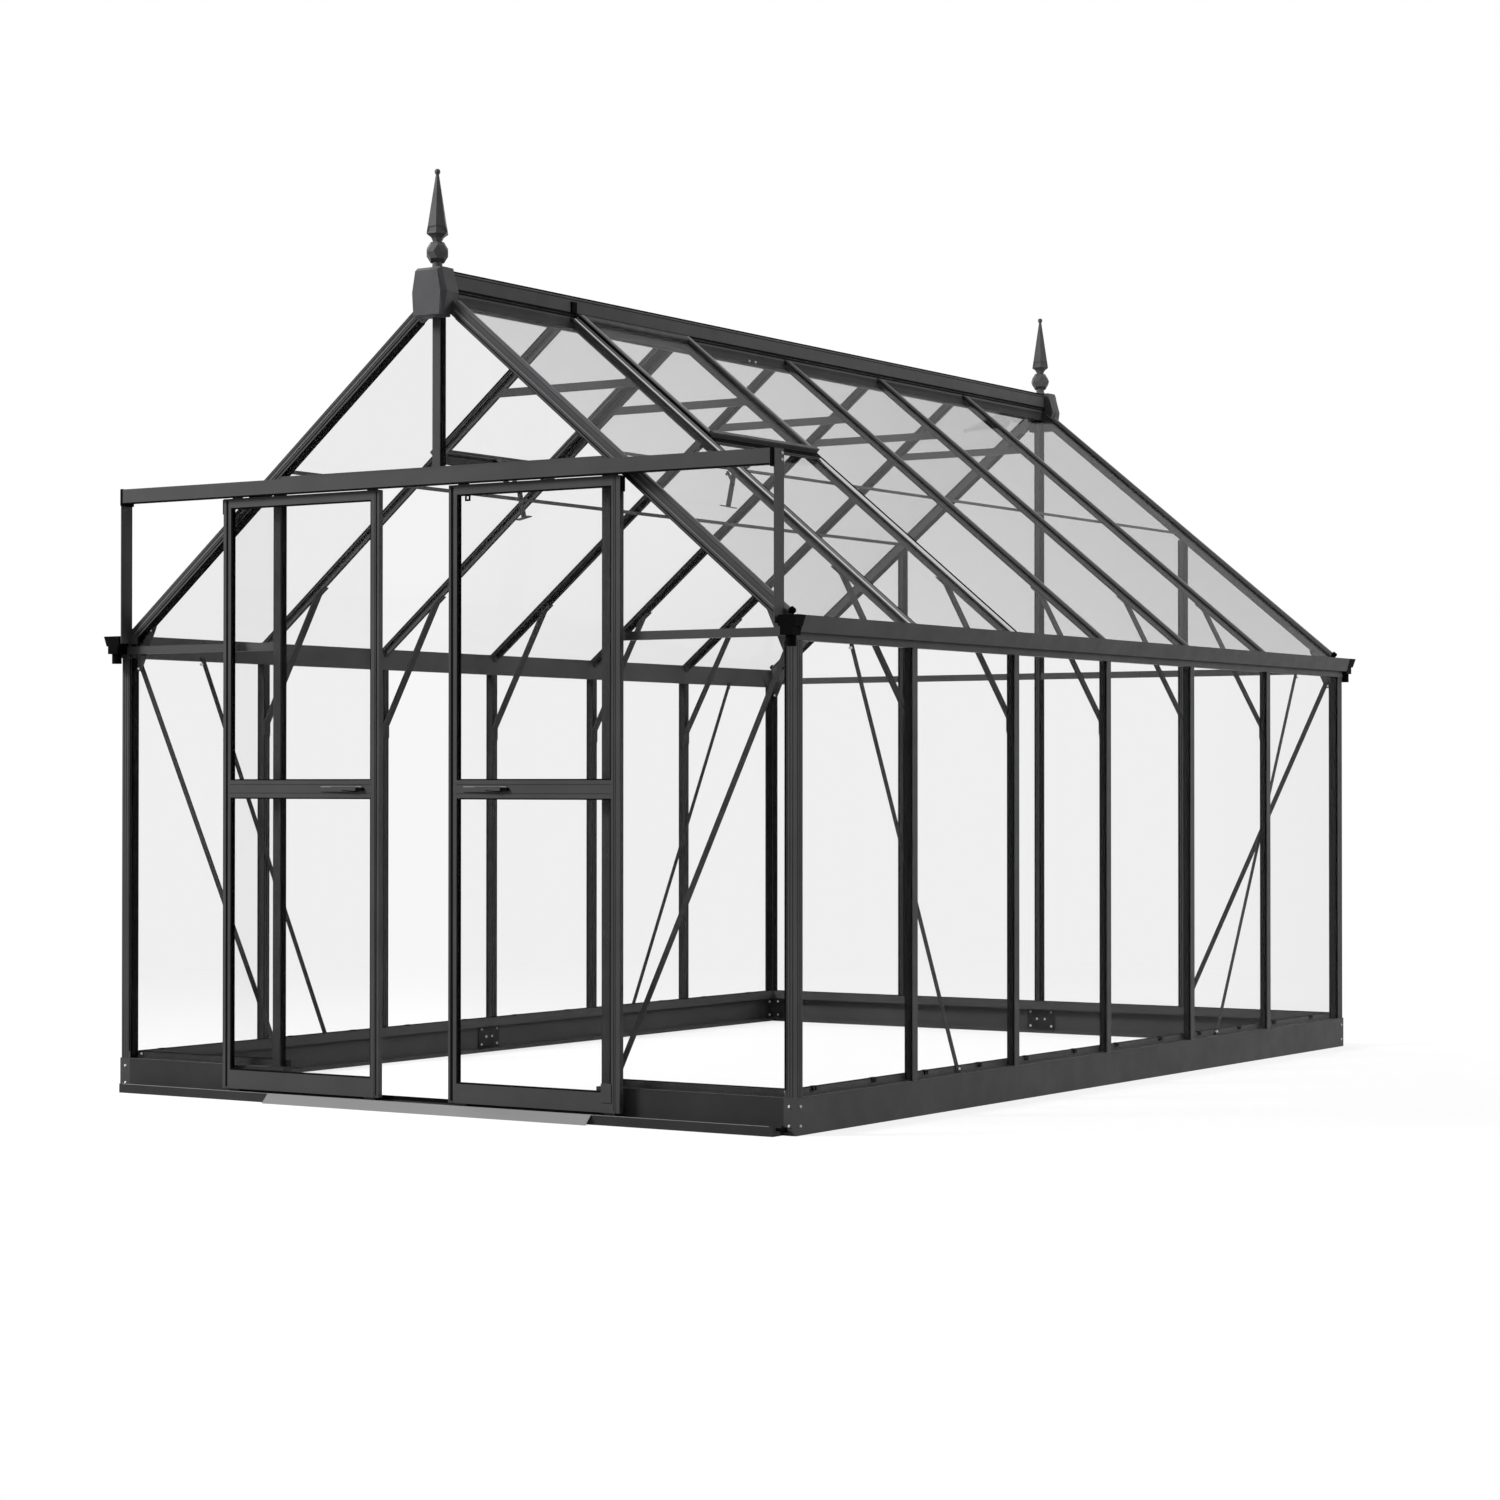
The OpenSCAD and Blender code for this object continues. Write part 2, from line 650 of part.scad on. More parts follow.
// Gable rafter section at the rear, across Y and out of the roof: ribbed face, roof slot and wall slot
gable_ribs = floor((gable_d - rib_w) / rib_pitch);
gable_section = concat(
    [
        [face_y, 0], [face_y - corner_w, 0], [face_y - corner_w, -cap_t],
        [face_y - corner_w + rebate, -cap_t], [face_y - corner_w + rebate, -slot_in],
        [face_y - corner_w, -slot_in], [face_y - corner_w, -gable_d], [face_y - slot_in, -gable_d],
        [face_y - slot_in, rebate - gable_d], [face_y - cap_t, rebate - gable_d],
        [face_y - cap_t, -gable_d], [face_y, -gable_d]
    ],
    [for (i = [gable_ribs:-1:1], p = [[0, -0.5], [-rib_d, -0.5], [-rib_d, 0.5], [0, 0.5]])
        [face_y + p[0], -i * rib_pitch + p[1] * rib_w]]
);

module gable_rafter() intersection() {
    left_slope() translate([-2 * eave_w, 0, 0]) run_x(slope_at(0) + 3 * eave_w) polygon(gable_section);
    translate([-inner_x, 0, eave_h]) cube([inner_x - ridge_half, half_l, sky]);
}

module gable_rafters() placed(frame_colour) both_ends() both_sides() gable_rafter();

// Collar tie under a pair of rafters, its ends cut to the rafters' underside
module collar_ties() placed(frame_colour) for (y = side_posts)
    translate([0, y, 0]) run_y(stem_w) polygon(mirrored([
        [roof_x(tie_z - tie_h / 2, bar_d), tie_z - tie_h / 2],
        [roof_x(tie_z + tie_h / 2, bar_d), tie_z + tie_h / 2]
    ]));

module purlin_rails() placed(frame_colour) both_sides() left_slope()
    translate([slope_at(purlin_x) - purlin_w / 2, corner_w - face_y, -bar_d - strap_t])
        cube([purlin_w, 2 * (face_y - corner_w), strap_t]);

// Flat bar from one point to another across X and Z, on its upper left side
module strap_2d(from, to, thick = strap_t) {
    run = to - from;
    translate(from) rotate(atan2(run[1], run[0])) square([norm(run), thick]);
}

// Knee brace on the left: a tab down the post, a diagonal, and a tab up the rafter
module knee_brace() {
    foot = [-inner_x + strap_t, eave_h - knee_drop];
    head_x = inner_x - knee_reach;
    tab = knee_tab * [cos(roof_pitch), sin(roof_pitch)];
    head = [-head_x, roof_z(head_x, bar_d + strap_t)];
    run_y(knee_w) {
        translate([-inner_x, eave_h - knee_drop - knee_tab]) square([strap_t, knee_tab]);
        intersection() {
            strap_2d(foot - [0, strap_t], head + tab * 0.2, knee_t);
            polygon([
                [-inner_x, 0], [-inner_x, roof_z(inner_x, bar_d)],
                [-ridge_half, roof_z(ridge_half, bar_d)], [-ridge_half, 0]
            ]);
        }
        strap_2d(head, head + tab);
    }
}

module knee_braces() placed(frame_colour) both_sides() for (y = side_posts)
    translate([0, y, 0]) knee_brace();

// Flat brace bar drawn across its first axis and Z, between two heights
module brace_2d(from, to) {
    run = to - from;
    across = brace_w / 2 * norm(run) / run[1];
    polygon([from - [across, 0], from + [across, 0], to + [across, 0], to - [across, 0]]);
}

module wall_braces() placed(frame_colour) {
    span = side_pitch;
    front_top = -face_y + corner_w + 0.485 * span;
    rear_top = face_y - corner_w - 0.5 * span;
    both_sides() translate([-inner_x, 0, 0]) run_x(strap_t) {
        brace_2d([front_top + span, base_h], [front_top, cross_z]);
        brace_2d([rear_top - 1.1 * span, base_h], [rear_top, cross_z]);
    }
    end_foot = [end_pitch + brace_w / 4, base_h];
    end_top = [face_x - corner_w - brace_w * 0.6, eave_h - brace_w];
    behind_gusset = inner_y - strap_t * 1.5;
    both_sides() translate([0, -behind_gusset, 0]) run_y(strap_t) brace_2d(end_foot, end_top);
    translate([0, behind_gusset, 0]) run_y(strap_t) brace_2d(end_foot, end_top);
}

// Gusset plates: in the side walls' upper corners, and from the corner posts up to the gable rafters
module gusset_plates() placed(frame_colour) {
    rise = gusset_reach + gusset_foot;
    both_ends() both_sides() {
        translate([inner_x - strap_t, face_y - corner_w, cross_top]) run_x(strap_t)
            polygon([[0, 0], [-gusset_leg, 0], [0, -gusset_leg]]);
        difference() {
            translate([face_x - corner_w, inner_y - strap_t / 2, eave_h]) run_y(strap_t) polygon([
                [0, -gusset_drop], [0, rise], [-gusset_reach, rise], [-gusset_foot, -gusset_drop]
            ]);
            above_roof(gable_d);
        }
    }
}

// Door header: a box open below, closed at its ends, with a lip that the door rollers run on
module door_header() placed(frame_colour) {
    translate([-track_half, 0, header_z]) run_x(2 * track_half) polygon([
        [-track_front, 0], [-lip_in, 0], [-lip_in, track_t], [track_t - track_front, track_t],
        [track_t - track_front, header_h - track_t], [-face_y - track_t, header_h - track_t],
        [-face_y - track_t, 0], [-face_y, 0], [-face_y, header_h], [-track_front, header_h]
    ]);
    both_sides() translate([track_half - track_t, -track_front, header_z])
        cube([track_t, track_d, header_h]);
}

// Upright at each end of the header, with a foot against the gable rafter
module header_end_posts() placed(frame_colour) both_sides() {
    translate([track_half, -face_y - end_post_d, post_foot_z])
        cube([strap_t, end_post_d, header_z + header_h - post_foot_z]);
    translate([track_half - strap_w, -face_y - strap_t, post_foot_z])
        cube([strap_w + strap_t, strap_t, gusset_leg / 2]);
}

// Lower track: a shallow channel on the ground in front of the base
module lower_track() placed(frame_colour) translate([-track_half, 0, 0]) run_x(2 * track_half)
    polygon([
        [-track_front, 0], [-half_l, 0], [-half_l, track_h], [-half_l - track_t, track_h],
        [-half_l - track_t, track_t], [track_t - track_front, track_t],
        [track_t - track_front, track_h], [-track_front, track_h]
    ]);

module threshold_ramp() placed(ramp_colour) translate([-ramp_half, 0, 0]) run_x(2 * ramp_half)
    polygon([
        [-track_front, track_h], [-track_front - ramp_l, 0], [-track_front - ramp_l + strap_t, 0],
        [-track_front, track_h - strap_t]
    ]);

// Panes of one side wall, drawn on the left
module side_panes() for (i = [0:side_bays - 1]) {
    start = pane_y[i] + (i == 0 ? glass_play : edge_gap);
    end = pane_y[i + 1] - (i == side_bays - 1 ? glass_play : edge_gap);
    translate([-face_x + cap_t, start, base_h]) cube([glass_t, end - start, eave_h - base_h]);
}

module left_wall_glass() placed(glass_colour) side_panes();

module right_wall_glass() placed(glass_colour) mirror([1, 0, 0]) side_panes();

// Pane of an end wall, drawn at the rear, cut to the slot in the gable rafter
module end_pane(x0, x1, z0, z1) difference() {
    translate([x0, face_y - slot_in, z0]) cube([x1 - x0, glass_t, z1 - z0]);
    above_roof(gable_d - rebate + glass_play);
}

// Panes of an outer bay of an end wall: one below the cross bar and one above
module outer_end_panes() {
    lap = rebate * 0.6 - glass_play;
    start = end_pitch + edge_gap;
    end = inner_x - glass_play;
    end_pane(start, end, base_h, cross_z + lap);
    end_pane(start, end, cross_top - lap, ridge_top);
}

module rear_wall_glass() placed(glass_colour) both_sides() {
    lap = rebate * 0.6 - glass_play;
    outer_end_panes();
    end_pane(edge_gap, end_pitch - edge_gap, base_h, cross_z + lap);
    end_pane(edge_gap, end_pitch - edge_gap, cross_top - lap, ridge_low - cover_drop / 4);
}

module front_wall_glass() placed(glass_colour) mirror([0, 1, 0]) both_sides() {
    lap = rebate * 0.6 - glass_play;
    outer_end_panes();
    end_pane(edge_gap, end_pitch - edge_gap, head_top - lap, ridge_low - cover_drop / 4);
}

// Vent outline on the left slope
vent_post_0 = side_posts[vent_bay - 2];
vent_post_1 = side_posts[vent_bay - 1];
vent_y0 = vent_post_0 + bar_w / 2 - vent_lap;
vent_y1 = vent_post_1 - bar_w / 2 + vent_lap;
vent_s0 = slope_at(vent_x);
vent_s1 = slope_at(band_half);
vent_glass_z = (vent_h - glass_t) / 2;
vent_sill_s = vent_s0 - vent_sill / 5;

// Panes of the left slope; the pane under the vent stops in the sill bar
module roof_panes() left_slope() for (i = [0:side_bays - 1]) {
    start = pane_y[i] + (i == 0 ? glass_play : edge_gap);
    end = pane_y[i + 1] - (i == side_bays - 1 ? glass_play : edge_gap);
    low = slope_at(eave_out + glass_overhang);
    high = i == vent_bay - 1 ? vent_sill_s + rebate : slope_at(ridge_half) - slot_in;
    translate([low, start, -slot_in]) cube([high - low, end - start, glass_t]);
}

module left_roof_glass() placed(glass_colour) roof_panes();

module right_roof_glass() placed(glass_colour) mirror([1, 0, 0]) roof_panes();

// Pane of the left vent, in the slots of its frame
module vent_pane(play) left_slope() translate([
    vent_s0 + vent_lower_rail - rebate + play, vent_y0 + vent_rail - rebate + play, vent_glass_z
]) cube([
    vent_s1 - vent_s0 - vent_lower_rail - vent_rail + 2 * (rebate - play),
    vent_y1 - vent_y0 - 2 * (vent_rail - rebate + play), glass_t
]);

// Frame of the left vent: four rails on top of the rafters, the lower one taller and ribbed
module vent_frame() difference() {
    left_slope() translate([vent_s0, vent_y0, 0]) {
        cube([vent_s1 - vent_s0, vent_y1 - vent_y0, vent_h]);
        cube([vent_lower_rail / 2, vent_y1 - vent_y0, vent_lower_h]);
    }
    left_slope() translate([vent_s0 + vent_lower_rail, vent_y0 + vent_rail, -1]) cube([
        vent_s1 - vent_s0 - vent_lower_rail - vent_rail, vent_y1 - vent_y0 - 2 * vent_rail, vent_h + 2
    ]);
    for (i = [1:2]) left_slope()
        translate([vent_s0 - 1, vent_y0 - 1, i * vent_lower_h / 3 - rib_w])
            cube([rib_w + 1, vent_y1 - vent_y0 + 2, rib_w]);
    translate([-band_half, -half_l, 0]) cube([2 * band_half, base_l, sky]);
    vent_pane(0);
}

module vent_frames() placed(frame_colour) both_sides() vent_frame();

module vent_glass() placed(glass_colour) both_sides() vent_pane(glass_play);

// Sill bar between two rafters, with a slot for the pane below the vent
module vent_sill_bar() left_slope() difference() {
    translate([vent_sill_s, vent_post_0 + bar_w / 2, -seat_in])
        cube([vent_sill, vent_post_1 - vent_post_0 - bar_w, seat_in]);
    translate([vent_sill_s - 1, vent_post_0, -slot_in])
        cube([rebate + 1, vent_post_1 - vent_post_0, glass_t]);
}

module vent_sills() placed(frame_colour) both_sides() vent_sill_bar();

// Stay of the left vent: a bracket on the lower rail, an arm inwards, and a hanging arm with its foot
module vent_stay() translate([0, (vent_post_0 + vent_post_1) / 2, 0]) run_y(strap_w) {
    root = vent_s0 + vent_lower_rail;
    start = on_slope(root + strap_t / 2, strap_t / 2 - seat_in);
    arm = [stay_reach, -stay_dip];
    elbow = start + arm;
    toe = elbow + stay_l * [sin(stay_lean), -cos(stay_lean)];
    half_foot = stay_foot / 2 * [cos(stay_lean), sin(stay_lean)];
    translate(on_slope(root, -seat_in)) rotate(roof_pitch) square([strap_t, seat_in + vent_glass_z - 1]);
    strap_2d(start, elbow + strap_t * arm / norm(arm));
    strap_2d(elbow, toe);
    strap_2d(toe - half_foot, toe + half_foot);
}

module vent_stays() placed(plastic_colour) both_sides() vent_stay();

// Doors, drawn with the leaf's lower left corner at the origin of X, in place across Y and Z

// The two panes of a door, above and below its middle rail
module door_panes(play) {
    lap = rebate * 0.6 - play;
    width = door_w - 2 * (stile_w - lap);
    low = [door_bottom + lower_rail_h, middle_rail_z + middle_rail_h / 2];
    high = [middle_rail_z - middle_rail_h / 2, door_top - top_rail_h];
    for (i = [0, 1]) translate([stile_w - lap, -door_y - glass_t / 2, low[i] - lap])
        cube([width, glass_t, high[i] - low[i] + 2 * lap]);
}

module door_stiles() difference() {
    for (x = [0, door_w - stile_w]) translate([x, -door_front, door_bottom])
        cube([stile_w, door_t, door_top - door_bottom]);
    door_panes(0);
    for (x = [stile_w / 2, door_w - stile_w / 2])
        translate([x - rib_w / 2, -door_front - 1, door_bottom - 1]) cube([rib_w, rib_d + 1, door_top]);
}

// A rail across a door between its stiles
module door_rail(z, height) translate([stile_w, -door_front, z])
    cube([door_w - 2 * stile_w, door_t, height]);

module door_rails() difference() {
    union() {
        door_rail(door_bottom, lower_rail_h);
        door_rail(middle_rail_z - middle_rail_h / 2, middle_rail_h);
        door_rail(door_top - top_rail_h, top_rail_h);
    }
    door_panes(0);
    for (z = [middle_rail_z - middle_rail_h / 4, middle_rail_z + middle_rail_h / 4])
        translate([stile_w - 1, -door_front - 1, z - rib_w / 2]) cube([door_w, rib_d + 1, rib_w]);
}

// Tapered pull on the middle rail, its thick end towards +X
module door_handle() translate([0, -door_front, middle_rail_z]) rotate([90, 0, 0]) linear_extrude(handle_d)
    polygon([
        [0, -handle_tip_h / 2], [handle_l, -handle_h / 2], [handle_l, handle_h / 2], [0, handle_tip_h / 2]
    ]);

// Two roller hangers over the top rail, and two guides under the lower rail
module door_runners() for (x = [hanger_w, door_w - hanger_w]) {
    translate([x - hanger_w / 2, -door_back, door_top - top_rail_h])
        cube([hanger_w, strap_t, roller_z + axle_d - door_top + top_rail_h]);
    translate([x, -roller_y - roller_t / 2, roller_z]) rotate([-90, 0, 0]) {
        cylinder(d = roller_d, h = roller_t);
        cylinder(d = axle_d, h = roller_y + roller_t / 2 - door_back + strap_t);
    }
    translate([x - hanger_w / 2, -door_y - guide_t / 2, track_h - guide_depth])
        cube([hanger_w, guide_t, door_bottom - track_h + guide_depth]);
}

module left_leaf(finish) placed(finish) translate([left_door_x, 0, 0]) children();

module right_leaf(finish) placed(finish) translate([right_door_x, 0, 0]) children();

module left_door_stiles() left_leaf(frame_colour) door_stiles();

module left_door_rails() left_leaf(frame_colour) door_rails();

module left_door_glass() left_leaf(glass_colour) door_panes(glass_play);

module left_door_handle() left_leaf(frame_colour)
    translate([door_w - handle_in - handle_l, 0, 0]) door_handle();

module left_door_runners() left_leaf(plastic_colour) door_runners();

module right_door_stiles() right_leaf(frame_colour) door_stiles();

module right_door_rails() right_leaf(frame_colour) door_rails();

module right_door_glass() right_leaf(glass_colour) door_panes(glass_play);

module right_door_handle() right_leaf(frame_colour)
    translate([handle_in, 0, 0]) door_handle();

module right_door_runners() right_leaf(plastic_colour) door_runners();

base_sides();
base_front();
base_rear();
base_splice_plates();
corner_posts();
left_wall_posts();
right_wall_posts();
rear_wall_posts();
door_posts();
front_king_post();
front_cross_bars();
rear_cross_bars();
left_eave_gutter();
right_eave_gutter();
gutter_end_caps();
ridge_beam();
ridge_end_covers();
finials();
left_rafters();
right_rafters();
gable_rafters();
collar_ties();
purlin_rails();
knee_braces();
wall_braces();
gusset_plates();
door_header();
header_end_posts();
lower_track();
threshold_ramp();
left_wall_glass();
right_wall_glass();
rear_wall_glass();
front_wall_glass();
left_roof_glass();
right_roof_glass();
vent_frames();
vent_glass();
vent_sills();
vent_stays();
left_door_stiles();
left_door_rails();
left_door_glass();
left_door_handle();
left_door_runners();
right_door_stiles();
right_door_rails();
right_door_glass();
right_door_handle();
right_door_runners();
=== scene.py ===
"""Looks of a glass greenhouse: finishes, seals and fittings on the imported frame, in a plain white studio."""
import json
import logging
import math
from collections.abc import Callable, Iterable, Sequence
from dataclasses import dataclass
from enum import Enum

import bpy
from mathutils import Euler, Matrix, Vector


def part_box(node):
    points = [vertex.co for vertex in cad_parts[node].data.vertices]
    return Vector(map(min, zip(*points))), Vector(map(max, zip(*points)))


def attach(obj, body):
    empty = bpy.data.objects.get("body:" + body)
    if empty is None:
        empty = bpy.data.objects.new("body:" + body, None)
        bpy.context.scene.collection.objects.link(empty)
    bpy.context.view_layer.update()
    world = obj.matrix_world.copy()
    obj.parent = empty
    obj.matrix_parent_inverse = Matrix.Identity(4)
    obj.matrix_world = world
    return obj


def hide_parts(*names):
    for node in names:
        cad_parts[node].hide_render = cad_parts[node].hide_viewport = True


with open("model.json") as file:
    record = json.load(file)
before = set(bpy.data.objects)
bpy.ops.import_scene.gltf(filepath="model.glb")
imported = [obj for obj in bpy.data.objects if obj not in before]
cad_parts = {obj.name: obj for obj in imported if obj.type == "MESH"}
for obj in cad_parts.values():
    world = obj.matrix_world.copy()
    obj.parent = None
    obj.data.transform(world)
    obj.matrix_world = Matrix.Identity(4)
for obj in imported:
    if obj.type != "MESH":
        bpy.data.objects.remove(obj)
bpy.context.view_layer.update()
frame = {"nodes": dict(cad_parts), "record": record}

LOG = logging.getLogger("greenhouse")
Point = Sequence[float]
Pair = tuple[float, float]
Spot = tuple[Point, Point]
Pick = Callable[[Vector, Vector], bool]
Socket = bpy.types.NodeSocket
Piece = bpy.types.Object

BOTH = (-1, 1)
SIDES = (("left", -1), ("right", 1))
ENDS = (("front", -1), ("rear", 1))
CORNERS = [(side, end) for side in BOTH for end in BOTH]
QUARTER = math.pi / 2
WHITE = "#ffffff"
# A face looks along an axis when its normal's part along that axis is over this.
STRAIGHT = 0.9
# Clearances in metres: at a strip's ends, and between its foot and the bar.
GAP = 0.001
SEAT = 0.0001


class Body(Enum):
    """The bodies that pieces ride on."""

    HOUSE = "house"
    LEFT_DOOR = "left_door"
    RIGHT_DOOR = "right_door"


class Slot(Enum):
    """The record's material slots."""

    FRAME = "anthracite_aluminium"
    BASE = "base_steel"
    PLASTIC = "black_plastic"
    NYLON = "nylon"
    MILL = "mill_aluminium"
    WALL_GLASS = "wall_glass"
    ROOF_GLASS = "roof_glass"


def linear(colour: str) -> tuple[float, float, float, float]:
    """Turn an sRGB hex colour to linear.

    Args:
        colour: The colour as #rrggbb.

    Returns:
        Red, green and blue in linear light, and an alpha of 1.
    """
    parts = [int(colour[i:i + 2], 16) / 255 for i in (1, 3, 5)]
    red, green, blue = (p / 12.92 if p <= 0.04045 else ((p + 0.055) / 1.055) ** 2.4 for p in parts)
    return red, green, blue, 1.0


def per_metre(size_mm: float) -> float:
    """Return the texture scale whose pattern has that size in millimetres."""
    return 1000.0 / size_mm


@dataclass(frozen=True)
class Shader:
    """A node tree that is being built, with the nodes that the finishes share."""

    tree: bpy.types.NodeTree

    def add(self, kind: str, inputs: dict | None = None, **settings: object) -> bpy.types.bpy_prop_collection:
        """Add a shader node with its settings and links.

        Args:
            kind: The node's type name after ShaderNode.
            inputs: Input name or number, with the value or the socket that goes in.
            settings: Properties of the node.

        Returns:
            The new node's outputs.
        """
        node = self.tree.nodes.new(f"ShaderNode{kind}")
        for key, value in settings.items():
            setattr(node, key, value)
        for key, value in (inputs or {}).items():
            if isinstance(value, bpy.types.NodeSocket):
                self.tree.links.new(value, node.inputs[key])
            else:
                node.inputs[key].default_value = value
        return node.outputs

    def place(self) -> Socket:
        """Return the object's own coordinates."""
        return self.add("TexCoord")["Object"]

    def noise(self, place: Socket, size_mm: float, detail: float = 2.0, roughness: float = 0.5) -> Socket:
        """Return a noise whose pattern has that size."""
        return self.add("TexNoise", {"Vector": place, "Scale": per_metre(size_mm), "Detail": detail,
                                     "Roughness": roughness})["Fac"]

    def spread(self, value: Socket, source: Pair = (0.3, 0.7), target: Pair = (0.0, 1.0)) -> Socket:
        """Return a value whose source range is spread over the target range."""
        return self.add("MapRange", {"Value": value, "From Min": source[0], "From Max": source[1],
                                     "To Min": target[0], "To Max": target[1]})["Result"]

    def tone(self, share: Socket, one: str, two: str) -> Socket:
        """Return a mix of two sRGB colours."""
        return self.add("Mix", {0: share, 6: linear(one), 7: linear(two)}, data_type="RGBA")[2]

    def bump(self, height: Socket, strength: float, depth_mm: float) -> Socket:
        """Return the normal of a relief."""
        relief = {"Height": height, "Strength": strength, "Distance": depth_mm / 1000}
        return self.add("Bump", relief)["Normal"]

    def blend(self, share: Socket, one: Socket, two: Socket) -> Socket:
        """Return a mix of two shaders."""
        return self.add("MixShader", {0: share, 1: one, 2: two})["Shader"]

    def seen_rays(self) -> Socket:
        """Tell rays that are seen from light that falls on surfaces.

        Returns:
            A socket that is 1 for camera, glossy and transmission rays, and 0 for the others.
        """
        ray = self.add("LightPath")
        seen = ray["Is Camera Ray"]
        for kind in ("Is Glossy Ray", "Is Transmission Ray"):
            seen = self.add("Math", {0: seen, 1: ray[kind]}, operation="MAXIMUM")[0]
        return seen


@dataclass(frozen=True)
class Finish:
    """A procedural material, named for what the real surface is."""

    name: str

    def material(self) -> bpy.types.Material:
        """Make the finish's material at its first use.

        Returns:
            The material.
        """
        made = bpy.data.materials.get(self.name)
        if made is None:
            made = bpy.data.materials.new(self.name)
            made.use_nodes = True
            made.node_tree.nodes.clear()
            shader = Shader(made.node_tree)
            shader.add("OutputMaterial", {"Surface": self.surface(shader)})
        return made

    def surface(self, shader: Shader) -> Socket:
        """Build the finish's shader and return its socket."""
        raise NotImplementedError


@dataclass(frozen=True)
class Coating(Finish):
    """An opaque painted, moulded or rubber skin: two close tones, uneven gloss and a fine grain."""

    dark: str
    light: str
    cloud_mm: float
    grain_mm: float
    grain_depth_mm: float
    roughness: Pair
    specular: float

    def surface(self, shader: Shader) -> Socket:
        """Build the skin: clouds mix the tones, a finer noise sets gloss, and the grain is a bump.

        Args:
            shader: The material's node tree.

        Returns:
            The shader's socket.
        """
        place = shader.place()
        cloud = shader.noise(place, self.cloud_mm, detail=4.0, roughness=0.6)
        smear = shader.noise(place, self.cloud_mm / 5, detail=3.0)
        grain = shader.noise(place, self.grain_mm)
        return shader.add("BsdfPrincipled", {
            "Base Color": shader.tone(shader.spread(cloud), self.dark, self.light),
            "Roughness": shader.spread(smear, target=self.roughness),
            "Normal": shader.bump(grain, 0.5, self.grain_depth_mm),
            "Specular IOR Level": self.specular})["BSDF"]


@dataclass(frozen=True)
class BareMetal(Finish):
    """Bare metal with drawn streaks along one axis, which spread its reflections."""

    dark: str
    light: str
    streak_mm: tuple[float, float, float]
    roughness: Pair
    streak_depth_mm: float = 0.2

    def surface(self, shader: Shader) -> Socket:
        """Build the metal: one stretched noise gives tone, gloss and the streaks' relief.

        Args:
            shader: The material's node tree.

        Returns:
            The shader's socket.
        """
        scale = [per_metre(size) for size in self.streak_mm]
        along = shader.add("Mapping", {"Vector": shader.place(), "Scale": scale})["Vector"]
        streak = shader.noise(along, size_mm=1000.0, detail=5.0)
        return shader.add("BsdfPrincipled", {
            "Base Color": shader.tone(streak, self.dark, self.light), "Metallic": 1.0,
            "Roughness": shader.spread(streak, target=self.roughness),
            "Normal": shader.bump(streak, 0.3, self.streak_depth_mm)})["BSDF"]


@dataclass(frozen=True)
class ToughenedGlass(Finish):
    """Toughened float glass: clear, with a faint tint and the slight waves that the rollers leave."""

    clear: str
    slant: str
    wave_mm: float = 180.0
    wave_depth_mm: float = 0.05
    ior: float = 1.05
    turning: Pair = (0.57, 0.82)

    def surface(self, shader: Shader) -> Socket:
        """Build the pane: clear when faced, greyer at a slant, and open to the lamps for what is inside.

        Args:
            shader: The material's node tree.

        Returns:
            The shader's socket.
        """
        wave = shader.noise(shader.place(), self.wave_mm, detail=1.0)
        share = shader.spread(shader.add("LayerWeight", {"Blend": 0.5})["Facing"], self.turning)
        pane = shader.add("BsdfPrincipled", {
            "Base Color": shader.tone(share, self.clear, self.slant), "Roughness": 0.01, "IOR": self.ior,
            "Transmission Weight": 1.0, "Normal": shader.bump(wave, 0.4, self.wave_depth_mm)})["BSDF"]
        clear = shader.add("BsdfTransparent", {"Color": linear(self.clear)})["BSDF"]
        return shader.blend(shader.add("LightPath")["Is Shadow Ray"], pane, clear)


@dataclass(frozen=True)
class StudioFloor(Finish):
    """A matt floor that shows white, keeps a soft shadow near the house and throws little light back."""

    tone: str
    bounce: str
    share: float
    reach: Pair = (2.6, 6.5)
    cloud_mm: float = 900.0

    def surface(self, shader: Shader) -> Socket:
        """Build the floor: seen rays find it part lit and part plain white, all white farther out.

        Args:
            shader: The material's node tree.

        Returns:
            The shader's socket.
        """
        place = shader.place()
        tone = shader.tone(shader.noise(place, self.cloud_mm), self.tone, WHITE)
        matt = shader.add("BsdfDiffuse", {"Color": tone})["BSDF"]
        dull = shader.add("BsdfDiffuse", {"Color": linear(self.bounce)})["BSDF"]
        white = shader.add("Emission", {"Color": linear(WHITE), "Strength": 1.0})["Emission"]
        far = shader.add("VectorMath", {0: place}, operation="LENGTH")["Value"]
        seen = shader.blend(shader.spread(far, self.reach, (self.share, 1.0)), matt, white)
        return shader.blend(shader.seen_rays(), dull, seen)


# Polyester powder coat on aluminium: an even dark grey whose orange peel softens every glint. The peel is
# about 0.6 mm on a real bar and is drawn at 3 mm so that it shows.
FRAME_COAT = Coating("powder_coated_aluminium", "#3d3d3e", "#444445", 240.0, 3.0, 0.06, (0.42, 0.55), 0.15)
# The same coat on the roof's cappings, where rain and wiping keep it glossier. Its tones are lighter than the
# frame's as painted light: the cappings' tops catch the light.
LIT_CAPPING_COAT = Coating("gloss_capping_painted_light", "#464647", "#4e4e50", 200.0, 3.0, 0.04, (0.3, 0.4), 0.35)
# The same coat, pale, on thin edges and beads: a painted highlight where light catches them.
HIGHLIGHT_COAT = Coating("coat_painted_highlight", "#6c6c6d", "#78787a", 160.0, 3.0, 0.04, (0.28, 0.4), 0.4)
# The same coat over folded steel, a little flatter, with the dust of the ground in its clouds.
BASE_COAT = Coating("powder_coated_base_steel", "#3c3c3d", "#444444", 320.0, 4.0, 0.08, (0.5, 0.62), 0.15)
